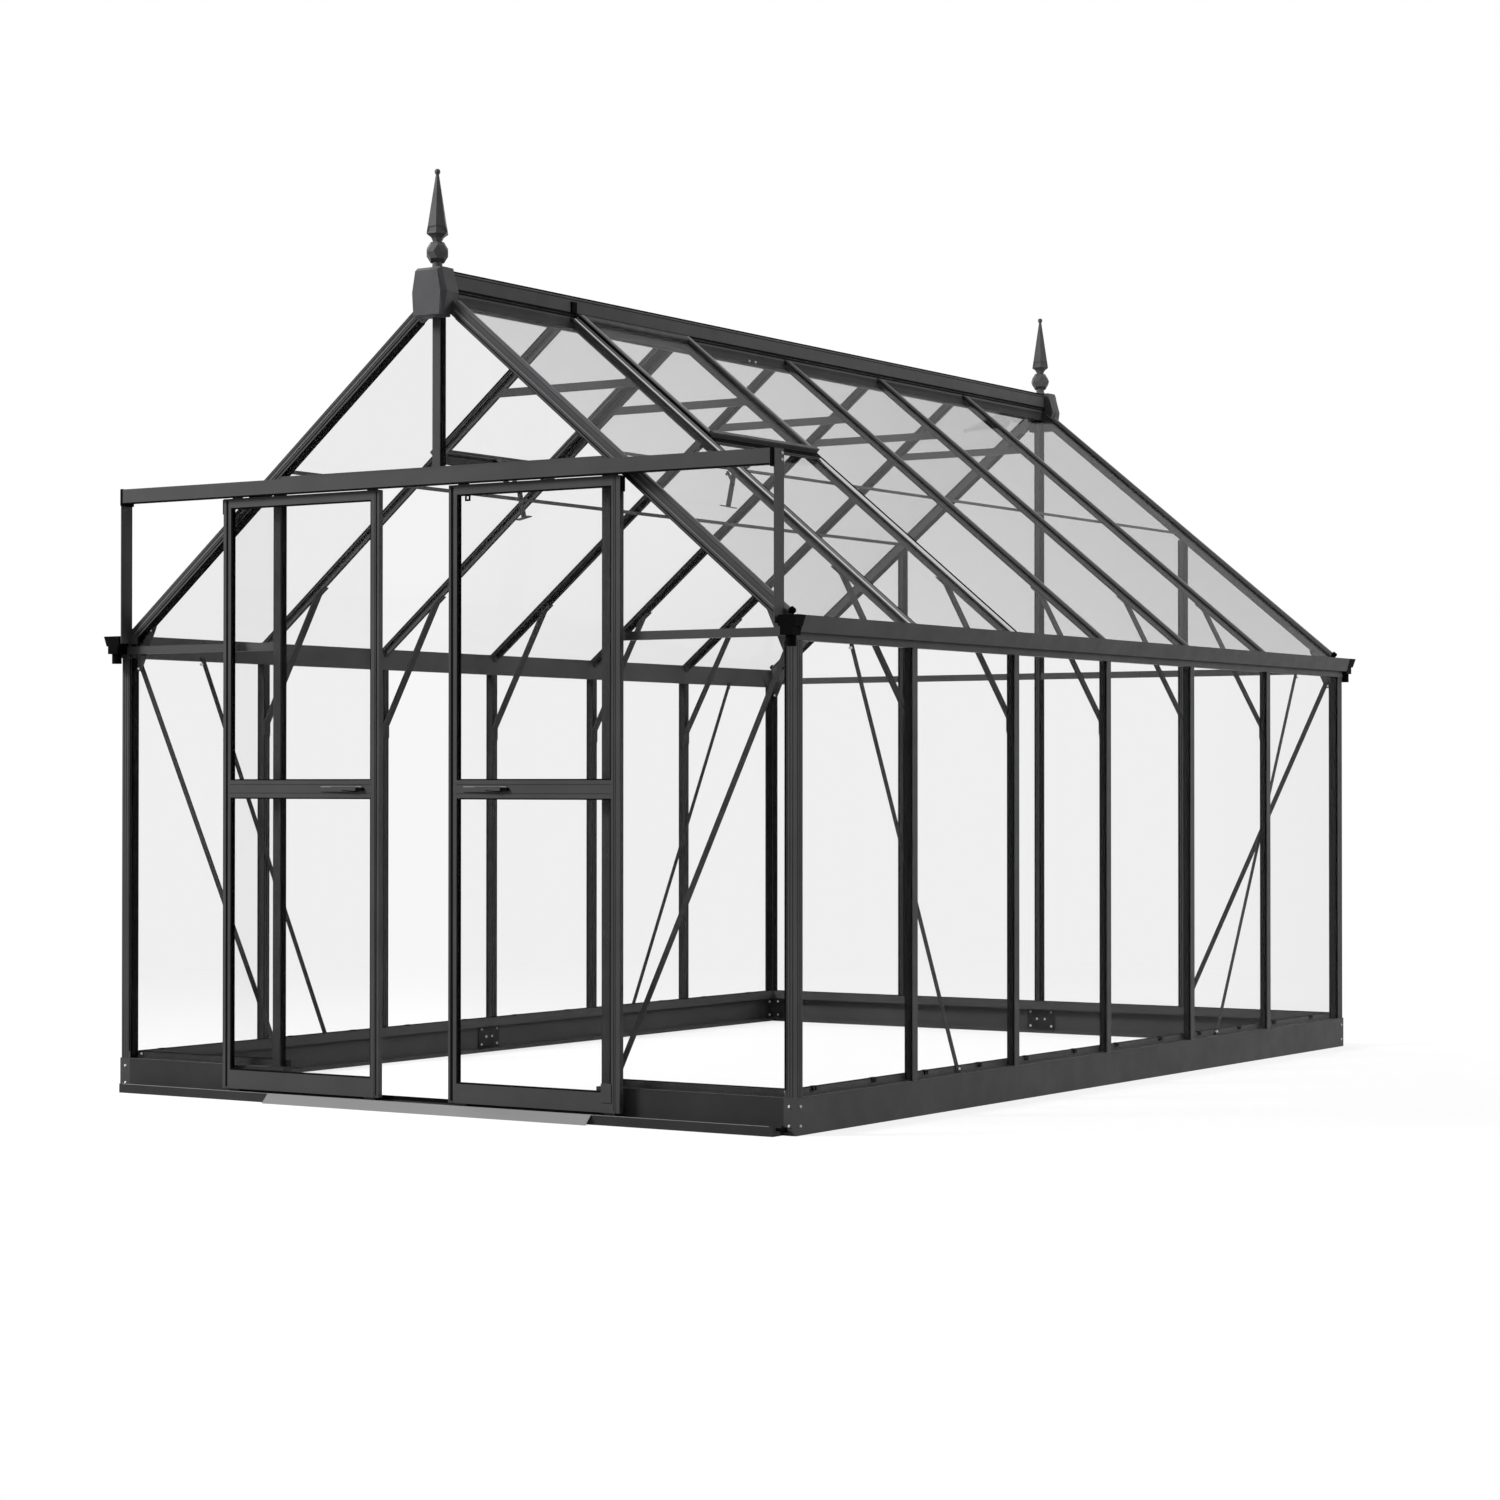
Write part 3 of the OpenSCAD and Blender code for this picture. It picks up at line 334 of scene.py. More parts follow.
# The same coat on the front sill and the track, a little duller, and darker as painted shade: less light
# falls on the low front.
SHADED_SILL_COAT = Coating("sill_coat_painted_shade", "#2e2e2f", "#363637", 260.0, 4.0, 0.08, (0.5, 0.64), 0.12)
# A thinner and flatter coat on the flat-bar braces and the door posts, darker as painted shade for the
# shade that falls on them.
SHADED_BAR_COAT = Coating("bar_coat_painted_shade", "#29292a", "#313132", 180.0, 3.0, 0.05, (0.48, 0.6), 0.12)
# Black coat on the pressed joining plates and the sills under the vents.
PLATE_COAT = Coating("black_coated_plate", "#191919", "#212121", 120.0, 3.0, 0.05, (0.45, 0.58), 0.15)
# Injection-moulded ABS: near black with a fine spark-eroded grain, drawn coarser than its 0.2 mm. Its
# gloss is very low, because the all-white surroundings would turn it grey at a slant.
MOULDED_BLACK = Coating("moulded_black_abs", "#090909", "#0f0f0f", 60.0, 1.2, 0.05, (0.4, 0.5), 0.01)
# The ridge covers are the same moulding in a lighter grey than the frame, with a smoother skin.
MOULDED_GREY = Coating("moulded_grey_abs", "#444446", "#4c4c4e", 90.0, 1.6, 0.05, (0.4, 0.5), 0.15)
# The finials are moulded paler and smoother still, so that their facets catch the light one by one.
FINIAL_GLOSS = Coating("moulded_gloss_abs", "#4c4c4d", "#565657", 70.0, 1.4, 0.03, (0.3, 0.4), 0.08)
# Nylon wheels and guides: black, slightly waxy.
NYLON = Coating("black_nylon", "#131313", "#1b1b1b", 30.0, 1.0, 0.03, (0.32, 0.42), 0.4)
# Extruded EPDM rubber: matt black with die lines, which show as a fine grain.
RUBBER = Coating("epdm_seal_rubber", "#0a0a0a", "#101010", 90.0, 1.6, 0.05, (0.6, 0.75), 0.03)
# Dark grey rubber on the left wall and the roof. On the roof's aprons its grey partly paints the shade under
# the cappings.
GREY_RUBBER = Coating("grey_seal_rubber_and_shade", "#242424", "#2c2c2c", 110.0, 1.6, 0.05, (0.6, 0.75), 0.1)
# Bright zinc flake on bolts and washers: a pale, even grey that looks almost white beside the coat.
ZINC = Coating("zinc_flake_plating", "#d8d8d6", "#f0f0ee", 6.0, 0.8, 0.02, (0.3, 0.42), 0.5)
# Mill aluminium: grey with streaks along the extruded length.
MILL = BareMetal("drawn_mill_aluminium", "#989898", "#adadad", (260.0, 3.0, 3.0), (0.34, 0.5))
# Polished aluminium bars beside the vents, which mirror the sky along their crown.
POLISHED = BareMetal("polished_aluminium", "#b4b4b4", "#cccccc", (4.0, 4.0, 260.0), (0.16, 0.26))
# Toughened float glass: almost clear in the walls and a little greyer in the roof, and grey where it is seen
# at a slant. Its IOR is far below the usual 1.5, because all-white surroundings would veil every pane with
# their reflection.
WALL_GLASS = ToughenedGlass("clear_toughened_glass", "#f7f7f7", "#b2b2b2")
ROOF_GLASS = ToughenedGlass("grey_toughened_glass", "#f3f3f3", "#9a9a9a")

FINISH_OF_SLOT: dict[Slot, Finish] = {
    Slot.FRAME: FRAME_COAT, Slot.BASE: BASE_COAT, Slot.PLASTIC: MOULDED_BLACK, Slot.NYLON: NYLON,
    Slot.MILL: MILL, Slot.WALL_GLASS: WALL_GLASS, Slot.ROOF_GLASS: ROOF_GLASS,
}
FINISH_OF_NODE: dict[str, Finish] = {
    "ridge_end_covers": MOULDED_GREY, "finials": FINIAL_GLOSS, "base_splice_plates": PLATE_COAT,
    # The front sill and the track get a darker coat as painted shade.
    "vent_stays": FRAME_COAT, "vent_sills": PLATE_COAT, "base_front": SHADED_SILL_COAT, "lower_track": SHADED_SILL_COAT,
    # The braces and the door posts get a darker coat as painted shade.
    "knee_braces": SHADED_BAR_COAT, "wall_braces": SHADED_BAR_COAT, "door_posts": SHADED_BAR_COAT,
}
# The slots of what is added. All the other finishes on it are mouldings and rubber.
SLOT_OF_FINISH: dict[Finish, Slot] = {
    FRAME_COAT: Slot.FRAME, LIT_CAPPING_COAT: Slot.FRAME, HIGHLIGHT_COAT: Slot.FRAME,
    ZINC: Slot.MILL, POLISHED: Slot.MILL,
}


def shift(x: float, y: float, z: float) -> Matrix:
    """Return a move."""
    return Matrix.Translation((x, y, z))


def turn(angle: float, axis: str) -> Matrix:
    """Return a turn about an axis."""
    return Matrix.Rotation(angle, 4, axis)


def mirror(x: int, y: int = 1) -> Matrix:
    """Return a mirroring along each axis that has a -1."""
    return Matrix.Diagonal((x, y, 1, 1))


def facing(point: Point, out: Point) -> Matrix:
    """Return the place of a fitting modelled on +Z whose foot is at a point and which points outwards."""
    return shift(*point) @ Vector(out).to_track_quat("Z", "Y").to_matrix().to_4x4()


def deselect() -> None:
    """Leave edit mode and deselect everything."""
    if bpy.context.object and bpy.context.object.mode != "OBJECT":
        bpy.ops.object.mode_set(mode="OBJECT")
    bpy.ops.object.select_all(action="DESELECT")


def edit(piece: Piece, pick: Pick | None = None, edges: bool = False) -> None:
    """Open a piece in edit mode with some of its faces or edges selected.

    Args:
        piece: The piece to open.
        pick: Says from a face's middle and normal, or an edge's middle and run, if it is selected. None
            selects all.
        edges: Whether it picks edges.
    """
    deselect()
    piece.select_set(True)
    bpy.context.view_layer.objects.active = piece
    bpy.ops.object.mode_set(mode="EDIT")
    bpy.ops.mesh.select_mode(type="EDGE" if edges else "FACE")
    bpy.ops.mesh.select_all(action="DESELECT" if pick else "SELECT")
    if pick:
        bpy.ops.object.mode_set(mode="OBJECT")
        mesh = piece.data
        if edges:
            for edge in mesh.edges:
                one, two = (mesh.vertices[i].co for i in edge.vertices)
                edge.select = pick((one + two) / 2, two - one)
        else:
            for face in mesh.polygons:
                face.select = pick(face.center, face.normal)
        bpy.ops.object.mode_set(mode="EDIT")


def newest() -> Piece:
    """Return the solid that was just added, with its place, turn and size taken into its mesh."""
    bpy.ops.object.transform_apply(location=True, rotation=True, scale=True)
    return bpy.context.object


def slab(low: Point, high: Point, ease_mm: float, steps: int = 1) -> Piece:
    """Model a plate or bar with eased edges.

    Args:
        low: Its lowest corner.
        high: Its highest corner.
        ease_mm: How far its edges are taken back.
        steps: Segments of the eased edges.

    Returns:
        The bar, in object mode.
    """
    deselect()
    bpy.ops.mesh.primitive_cube_add(size=1.0, location=(Vector(low) + Vector(high)) / 2)
    bpy.context.object.scale = Vector(high) - Vector(low)
    piece = newest()
    if ease_mm:
        edit(piece)
        bpy.ops.mesh.bevel(offset=ease_mm / 1000, segments=steps, affect="EDGES")
    deselect()
    return piece


def turned(rings: Sequence[Pair], sides: int) -> Piece:
    """Model a turned piece on the Z axis, ring by ring, with closed ends.

    Args:
        rings: Radius and height of each ring from the foot up.
        sides: Number of sides.

    Returns:
        The turned piece, in object mode.
    """
    deselect()
    radius, foot = rings[0]
    bpy.ops.mesh.primitive_circle_add(vertices=sides, radius=radius, fill_type="NGON", location=(0, 0, foot))
    piece = newest()
    edit(piece)
    for wide, height in rings[1:]:
        bpy.ops.mesh.extrude_region_move(TRANSFORM_OT_translate={"value": (0, 0, height - foot)})
        bpy.ops.transform.resize(value=(wide / radius, wide / radius, 1.0), center_override=(0, 0, height))
        radius, foot = wide, height
    bpy.ops.mesh.select_all(action="SELECT")
    bpy.ops.mesh.normals_make_consistent(inside=False)
    deselect()
    return piece


def framed(low: Point, high: Point, border: float) -> Piece:
    """Model a plate or gasket with a square hole through it, along Y.

    Args:
        low: Its lowest corner.
        high: Its highest corner.
        border: Width of the rim round the hole.

    Returns:
        The rim, in object mode.
    """
    piece = slab(low, high, 0.0)
    edit(piece, lambda middle, normal: abs(normal.y) > STRAIGHT)
    bpy.ops.mesh.inset(thickness=border)
    bpy.ops.mesh.bridge_edge_loops()
    deselect()
    return piece


def join(parts: Sequence[Piece], name: str) -> Piece:
    """Join modelled parts into one piece.

    Args:
        parts: The parts.
        name: The piece's name.

    Returns:
        The joined piece.
    """
    deselect()
    for part in parts:
        part.select_set(True)
    bpy.context.view_layer.objects.active = parts[0]
    if len(parts) > 1:
        bpy.ops.object.join()
    piece = bpy.context.object
    piece.name = piece.data.name = name
    deselect()
    return piece


def repeat(master: Piece, name: str, places: Iterable[Matrix]) -> Piece:
    """Copy a modelled piece to its places, each copy with its own mesh, and join the copies.

    Args:
        master: The piece, modelled once, which is used up.
        name: The joined piece's name.
        places: Where the copies go.

    Returns:
        The joined piece.
    """
    copies = []
    for place in places:
        copy = master.copy()
        copy.data = master.data.copy()
        copy.data.transform(place)
        if place.determinant() < 0:
            copy.data.flip_normals()
        bpy.context.collection.objects.link(copy)
        copies.append(copy)
    bpy.data.objects.remove(master)
    return join(copies, name)


def dress(piece: Piece, finish: Finish, body: Body = Body.HOUSE, stands_for: Sequence[str] = (),
          slot: Slot | None = None) -> None:
    """Give a piece its finish and the body that it rides on.

    Args:
        piece: The finished mesh.
        finish: Its finish.
        body: The body that carries it.
        stands_for: CAD nodes that it replaces.
        slot: The record's slot, where the finish's usual one isn't right. It is not used.
    """
    slot = slot or SLOT_OF_FINISH.get(finish, Slot.PLASTIC)
    piece.data.materials.clear()
    piece.data.materials.append(finish.material())
    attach(piece, body.value)
    if stands_for:
        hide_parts(*stands_for)
    LOG.info("%s: %d faces, %s on %s", piece.name, len(piece.data.polygons), finish.name, body.value)


def fit(master: Piece, name: str, places: Iterable[Matrix], finish: Finish) -> None:
    """Copy a piece to its places on the house and dress the joined copies."""
    dress(repeat(master, name, places), finish)


@dataclass(frozen=True)
class House:
    """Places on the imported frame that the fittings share, in metres."""

    mid_y: float = 0.0175
    base_x: float = 1.2465
    base_y: float = 1.880
    face_x: float = 1.2435
    face_y: float = 1.877
    corner: float = 0.036
    slot_in: float = 0.0071
    stem: float = 0.012
    base_h: float = 0.103
    sill: float = 0.123
    eave_h: float = 1.350
    eave_top: float = 1.429
    inner_x: float = 1.2155
    eave_out: float = 1.2455
    pitch: float = math.radians(39.1)
    bay: float = 0.615
    end_pitch: float = 0.610
    band: float = 0.030
    ridge_top: float = 2.4605
    side_posts: tuple[float, ...] = (-1.230, -0.615, 0.0, 0.615, 1.230)
    gable: float = 0.035
    vent_y: Pair = (-1.2065, -0.6035)
    vent_x: float = 0.524

    def y(self, local: float) -> float:
        """Return the frame's y of a distance from the house's middle."""
        return local + self.mid_y

    def roof_z(self, x: float, drop: float) -> float:
        """Return the roof's height at x, some way below its outer face."""
        return self.eave_top + math.tan(self.pitch) * (self.inner_x - abs(x)) - drop / math.cos(self.pitch)

    def up(self, x: float) -> float:
        """Return the distance up the slope at x, from the walls' inner face."""
        return (self.inner_x - x) / math.cos(self.pitch)

    def on_wall(self, side: int, y: float, z: float) -> Matrix:
        """Return a place on a side wall's face: Y points out, and Z up."""
        return shift(side * self.face_x, self.y(y), z) @ turn(-side * QUARTER, "Z")

    def on_end(self, end: int, x: float, z: float) -> Matrix:
        """Return a place on the front (-1) or rear (1) wall's face: Y points out, and Z up."""
        return shift(x, self.y(end * self.face_y), z) @ turn(0.0 if end > 0 else math.pi, "Z")

    def on_slope(self, side: int, y: float, up: float, out: float = 0.0) -> Matrix:
        """Return a place on a roof slope: Y points out of the roof, and Z up the slope."""
        lean = turn(-side * QUARTER, "Z") @ turn(QUARTER - self.pitch, "X")
        return shift(side * self.inner_x, self.y(y), self.eave_top) @ lean @ shift(0.0, out, up)

    def on_gable(self, side: int, end: int, up: float) -> Matrix:
        """Find a place on a gable rafter's face.

        Args:
            side: -1 on the left slope, 1 on the right.
            end: -1 on the front gable, 1 on the rear.
            up: The distance up the slope.

        Returns:
            The place: X points down from the roof, Y out, and Z up the slope.
        """
        sine, cosine = math.sin(self.pitch), math.cos(self.pitch)
        axes = Matrix(((-side * sine, 0, -side * cosine), (0, end, 0), (-cosine, 0, sine))).to_4x4()
        return shift(side * self.inner_x, self.y(end * self.face_y), self.eave_top) @ axes @ shift(0, 0, up)


@dataclass
class PackedFrame:
    """The carried-over CAD nodes, which get their finishes here."""

    nodes: dict[str, Piece]
    record: dict

    def dress(self) -> None:
        """Give each node its own finish, or that of its slot."""
        for part in self.record["subparts"]:
            finish = FINISH_OF_NODE.get(part["node"]) or FINISH_OF_SLOT[Slot(part["material_slot"])]
            mesh = self.nodes[part["node"]].data
            mesh.materials.clear()
            mesh.materials.append(finish.material())
            LOG.info("%s: %s", part["node"], finish.name)


@dataclass
class GlazingSeals:
    """Rubber strips on both flanks of each glazing bar, behind the glass, and on the corner posts, with black
    lines that paint the shade of the corner posts' grooves, and grey roof aprons that partly paint the shade
    under the cappings.
    """

    house: House
    width: float = 0.0085
    depth: float = 0.0213
    lip: float = 0.0012
    stand: float = 0.0018
    root: float = 0.0002
    king_foot: float = 1.887
    king_top: float = 2.36
    roof_end: float = 0.034
    seal_and_shade_apron: tuple[Pair, Pair] = ((0.01405, 0.0152), (-0.0160, -0.0072))
    line: Pair = (-0.0284, -0.0225)
    line_width: float = 0.0021

    def strip(self, length: float) -> Piece:
        """Model a wall bar's strip along +Z, with a grooved flank.

        Args:
            length: The strip's length.

        Returns:
            The strip on one flank: x is out from the bar's middle, -y its depth.
        """
        h = self.house
        root = h.stem / 2 + SEAT
        piece = slab((root, -h.slot_in - self.depth, 0), (root + self.width, -h.slot_in, length), 0.6)
        edit(piece, lambda middle, normal: normal.x > STRAIGHT)
        bpy.ops.mesh.inset(thickness=self.depth * 0.3, depth=-self.lip)
        deselect()
        return piece

    def flanks(self, bars: Iterable[Matrix]) -> list[Matrix]:
        """Return the places of a strip on both flanks of some bars."""
        return [bar @ side for bar in bars for side in (Matrix(), mirror(-1))]

    def corners(self) -> None:
        """Build the strips on the corner posts' inner faces, and the black lines on their front and rear,
        which paint the shade in the posts' grooves.
        """
        h = self.house
        x, y = h.face_x - h.corner, h.face_y - h.corner
        low, high = h.base_h + GAP, h.eave_h - GAP
        strips = [
            slab((x + GAP, y - self.stand, low), (h.face_x - h.slot_in, y + self.root, high), 0.5),
            slab((x - self.stand, y + GAP, low), (x + self.root, h.face_y - h.slot_in, high), 0.5),
            # The last strip is a black line on the post's front or rear face: painted shade in the post's
            # groove.
            slab((x - 0.0004, h.face_y - GAP, low + 0.02), (x + 0.0058, h.face_y + 0.0004, high), 0.3)]
        places = [shift(0, h.mid_y, 0) @ mirror(side, end) for side, end in CORNERS]
        fit(join(strips, "strips"), "corner_post_seals_and_shade_lines", places, RUBBER)

    def roof(self) -> None:
        """Build the grey aprons under the rafters' flanges, behind the vents, whose grey partly paints the
        shade under the cappings, and the lines at their feet.
        """
        h = self.house
        length, root = h.up(self.roof_end), h.stem / 2 + SEAT
        (inner, outer), (low, high) = self.seal_and_shade_apron
        for name, side in SIDES:
            places = self.flanks([h.on_slope(side, y, 0.0) for y in h.side_posts[2:]])
            # The apron is a grey seal strip that also stands for the shade under the capping: partly painted
            # shade.
            seal_and_shade_apron = slab((inner, low, 0), (outer, high, length), 0.3)
            fit(seal_and_shade_apron, f"{name}_roof_aprons", places, GREY_RUBBER)
            line = slab((root, self.line[0], 0), (root + self.line_width, self.line[1], length), 0.4)
            fit(line, f"{name}_roof_seals", places, RUBBER)

    def build(self) -> None:
        """Build the strips of the walls, the roof and the corner posts."""
        h = self.house
        low = h.base_h + GAP
        for name, side in SIDES:
            places = self.flanks([h.on_wall(side, y, low) for y in h.side_posts])
            rubber = GREY_RUBBER if side < 0 else RUBBER
            fit(self.strip(h.eave_h - low), f"{name}_wall_seals", places, rubber)
        gable = h.roof_z(h.end_pitch, h.gable + GAP) - low
        for (name, end), foot in zip(ENDS, (self.king_foot, low)):
            outer = self.flanks([h.on_end(end, side * h.end_pitch, low) for side in BOTH])
            middle = self.flanks([h.on_end(end, 0.0, foot)])
            parts = [repeat(self.strip(gable), "outer", outer),
                     repeat(self.strip(self.king_top - foot), "middle", middle)]
            dress(join(parts, f"{name}_wall_seals"), RUBBER)
        self.roof()
        self.corners()


@dataclass
class RoofTrims:
    """Cappings on the rafters, trims of the gables and the ridge, and the blocks at the ridge's ends."""

    house: House
    radius: float = 0.0110
    height: float = 0.0050
    gable_height: float = 0.0085
    vent_bead: Pair = (0.0026, 0.0095)
    plug: float = 0.0096
    block_half: float = 0.0655
    block_chamfer: float = 0.017

    def capping(self, length: float, radius: float, height: float) -> Piece:
        """Model a half-round capping along +Z on a bar's outer face.

        Args:
            length: Its length.
            radius: Half its width.
            height: How far its crown stands out.

        Returns:
            The capping, its foot at the origin.
        """
        deselect()
        bpy.ops.mesh.primitive_cylinder_add(vertices=20, radius=radius, depth=length,
                                            location=(0, 0, length / 2))
        piece = newest()
        edit(piece)
        bpy.ops.mesh.bisect(plane_co=(0, SEAT, 0), plane_no=(0, 1, 0), use_fill=True, clear_inner=True)
        bpy.ops.mesh.select_all(action="SELECT")
        bpy.ops.transform.resize(value=(1, height / radius, 1), center_override=(0, 0, 0))
        deselect()
        piece.select_set(True)
        bpy.ops.object.shade_smooth_by_angle(angle=math.radians(30))
        return piece

    def end_plug(self) -> Piece:
        """Model the domed plug that closes a capping's lower end, pointing down -Z."""
        r = self.plug
        return turned([(r * 0.35, -0.0105), (r * 0.8, -0.009), (r, -0.006), (r, 0.004), (r * 0.9, 0.006)], 14)

    def slopes(self) -> None:
        """Build the cappings of the rafters and gables, their plugs, and the bars beside the vents."""
        h = self.house
        foot, low, edge = h.up(h.eave_out - 0.004), h.up(h.inner_x - 0.002), h.face_y - h.corner / 2
        run, gable_run = h.up(h.band + 0.004) - foot, h.up(0.066) - low
        near, far = h.side_posts[:2]
        bars = ((near - 0.0036, 0.0036, 0.0042), (far + 0.0035, 0.0085, 0.0060))
        bead, lift = self.vent_bead, shift(0, 0.006, -0.004)
        for name, side in SIDES:

            def along(places: Iterable[float], start: float = foot) -> list[Matrix]:
                """Return the places on this slope at some distances along the house."""
                return [h.on_slope(side, y, start) for y in places]

            plain, ends = along(h.side_posts[2:]), along((-edge, edge), low)
            runs = [repeat(self.capping(run, self.radius, self.height), "plain", plain),
                    repeat(self.capping(gable_run, self.radius, self.gable_height), "ends", ends)]
            # The cappings' lighter coat is painted light on their tops.
            dress(join(runs, f"{name}_roof_cappings"), LIT_CAPPING_COAT)
            bright = [repeat(self.capping(run, radius, height), "bar", along([y]))
                      for y, radius, height in bars]
            dress(join(bright, f"{name}_vent_side_bars"), POLISHED)
            # The beads' pale coat is a painted highlight along the vents' side bars.
            fit(self.capping(run, *bead), f"{name}_vent_side_beads", along([near + 0.0024]), HIGHLIGHT_COAT)
            lips = [repeat(slab((-0.0008, 0, 0), (0.0008, tall, run), 0.3), "lip", along([y]))
                    for y, tall in ((near + 0.0048, 0.0108), (far + 0.0128, 0.0078))]
            dress(join(lips, f"{name}_vent_side_lips"), RUBBER)
            plugs = [place @ lift for place in along((near - 0.003, far + 0.0035)) + plain + ends]
            fit(self.end_plug(), f"{name}_capping_plugs", plugs, MOULDED_BLACK)

    def gables(self) -> None:
        """Build the pale bead on the gable rafters' faces, a painted highlight, the dark line, painted shade
        in a groove, and the seal under them.
        """
        h = self.house
        places = [h.on_gable(side, end, GAP) for side, end in CORNERS]
        under = ((h.gable, 0.0368), (-0.0360, -0.0002))
        # The bead's pale coat is a painted highlight; the dark line on the face is painted shade in a groove.
        for name, finish, strips in (
                ("gable_rafter_beads", HIGHLIGHT_COAT, [((0.0160, 0.0182), (-GAP, 0.0016))]),
                ("gable_rafter_seals_and_groove_shade", RUBBER, [((0.0262, 0.0294), (-GAP, 0.0004)), under])):
            runs = []
            for (near, far), (inner, outer) in strips:
                strip = slab((near, inner, 0), (far, outer, h.up(0.070) - far * math.tan(h.pitch)), 0.4)
                runs.append(repeat(strip, "run", places))
            dress(join(runs, name), finish)

    def ridge(self) -> None:
        """Build the smooth cover strip along the ridge's sides and the dark lines above and below it."""
        h = self.house
        half, top = h.face_y - 0.030, h.ridge_top
        both = [Matrix(), turn(math.pi, "Z") @ shift(0, -2 * h.mid_y, 0)]

        def strip(low: float, high: float, out: float) -> Piece:
            """Model a strip on the right side, between two heights and as far out as given."""
            return slab((out - GAP, h.y(-half), low), (out, h.y(half), high), 0.2)

        fit(strip(2.4110, 2.4485, h.band + 0.0008), "ridge_cover_strips", both, FRAME_COAT)
        lines = [strip(top - 0.0040, top + 0.0006, h.band + 0.0008), strip(2.4492, 2.4512, h.band + 0.0004),
                 strip(2.4040, 2.4105, h.band + 0.0006), strip(2.3972, 2.4012, 0.0260)]
        fit(join(lines, "lines"), "ridge_seal_lines", both, RUBBER)

    def covers(self) -> None:
        """Build the chamfered blocks on the ridge's end covers: six-sided, widest in their middle."""
        h, half, chamfer = self.house, self.block_half, self.block_chamfer
        low, high, front = h.ridge_top - 0.1403, h.ridge_top + 0.0053, h.y(-h.face_y - 0.031)
        middle = (low + high) / 2
        block = slab((-half, front, low), (half, h.y(-h.face_y + 0.002), high), 0.0)
        for side in BOTH:
            for edge, narrow in ((high, 0.32), (low, 0.24)):
                edit(block)
                rise = edge - middle
                slope = (side * abs(rise), 0, math.copysign(half * narrow, rise))
                bpy.ops.mesh.bisect(plane_co=(side * half, 0, middle), plane_no=slope, use_fill=True,
                                    clear_outer=True)
        edit(block, lambda place, normal: normal.y < -STRAIGHT)
        bpy.ops.mesh.extrude_region_move(TRANSFORM_OT_translate={"value": (0, -chamfer, 0)})
        bpy.ops.transform.resize(value=(0.794, 1, 1), center_override=(0, 0, 0))
        for edge, wider, step in ((high, 1.147, -0.010), (low, 1.204, 0.005)):
            edit(block, lambda place, run: place.y < front - chamfer / 2 and abs(place.z - edge) < GAP, True)
            bpy.ops.transform.resize(value=(wider, 1, 1), center_override=(0, 0, 0))
            bpy.ops.transform.translate(value=(0, 0, step))
        deselect()
        ends = [Matrix(), shift(0, 2 * h.mid_y, 0) @ turn(math.pi, "Z")]
        fit(block, "ridge_cover_blocks", ends, MOULDED_GREY)

    def build(self) -> None:
        """Build all the roof's trims."""
        self.slopes()
        self.gables()
        self.ridge()
        self.covers()


@dataclass
class VentFurniture:
    """Fittings of the closed roof vents: cappings, seals, hinge blocks, sill mouldings and peg plates."""

    house: House
    trims: RoofTrims
    thick: float = 0.018
    rail: float = 0.012
    stay_at: Pair = (0.479, 1.944)
    stay_lean: float = math.radians(28)

    def peg_plate(self) -> Piece:
        """Model the stay's second arm with its two-hole plate, on the left vent.

        Returns:
            The arm and its plate, which lie in the XZ plane.
        """
        parts = [slab((0, -0.004, -0.005), (0.085, 0.004, 0.005), 1.2),
                 slab((0.083, -0.005, -0.026), (0.089, 0.005, 0.026), 1.6)]
        for z in (-0.019, 0.019):
            parts.append(turned([(0.0046, -0.001), (0.0046, 0.0085), (0.0030, 0.0095)], 10))
            parts[-1].data.transform(shift(0.086, 0, z) @ turn(QUARTER, "Y"))
        return join(parts, "peg_plate")

    def edges(self, low: float, high: float) -> None:
        """Build the cappings and seals of the vents' sides, and the hinge blocks. The cappings' pale coat is a
        painted highlight.

        Args:
            low: How far up the slope the vents start.
            high: How far up the slope they end.
        """
        h = self.house
        near, far = (y - h.mid_y for y in h.vent_y)
        rails = (near + self.rail, far - self.rail)
        tops = [h.on_slope(side, y, low, self.thick) for side in BOTH for y in rails]
        # The cappings' pale coat is a painted highlight along the vents' edges.
        capping = self.trims.capping(high - low, 0.0085, 0.0040)
        fit(capping, "vent_edge_cappings", tops, HIGHLIGHT_COAT)
        flanks = [h.on_slope(side, y, low) for side in BOTH for y in (near - 0.0011, far + 0.0011)]
        seal = slab((-0.0010, 0.0012, 0), (0.0010, 0.0165, high - low), 0.4)
        fit(seal, "vent_side_seals", flanks, RUBBER)
        block = slab((h.band - 0.001, h.vent_y[0] - 0.027, 2.408), (h.band + 0.006, h.vent_y[0], 2.443), 1.2)
        fit(block, "vent_hinge_blocks", [Matrix(), mirror(-1)], MOULDED_BLACK)

    def build(self) -> None:
        """Build the fittings of both vents."""
        h = self.house
        low, high = h.up(h.vent_x - 0.001), h.up(h.band + 0.006)
        self.edges(low, high)
        near, far = h.vent_y
        middle, reach = (near + far) / 2, (far - near) / 2 - 0.004
        sills = [h.on_slope(side, middle - h.mid_y, low) for side in BOTH]
        grooves = [slab((-reach, 0.0008, -0.0220), (reach, 0.0115, -0.0005), 0.5),
                   slab((-reach, 0.0128, -0.0010), (reach, 0.0150, 0.0010), 0.2)]
        fit(join(grooves, "grooves"), "vent_sill_mouldings", sills, RUBBER)
        # The ribs get the cappings' lighter coat: painted light on their tops.
        ribs = [slab((-reach, out, -0.0236), (reach, out + 0.0024, -0.0215), 0.4) for out in (0.0024, 0.0074)]
        fit(join(ribs, "ribs"), "vent_sill_ribs", sills, LIT_CAPPING_COAT)
        x, z = self.stay_at
        arms = [shift(side * x, middle, z) @ mirror(-side) @ turn(self.stay_lean, "Y") for side in BOTH]
        fit(self.peg_plate(), "vent_peg_plates", arms, FRAME_COAT)


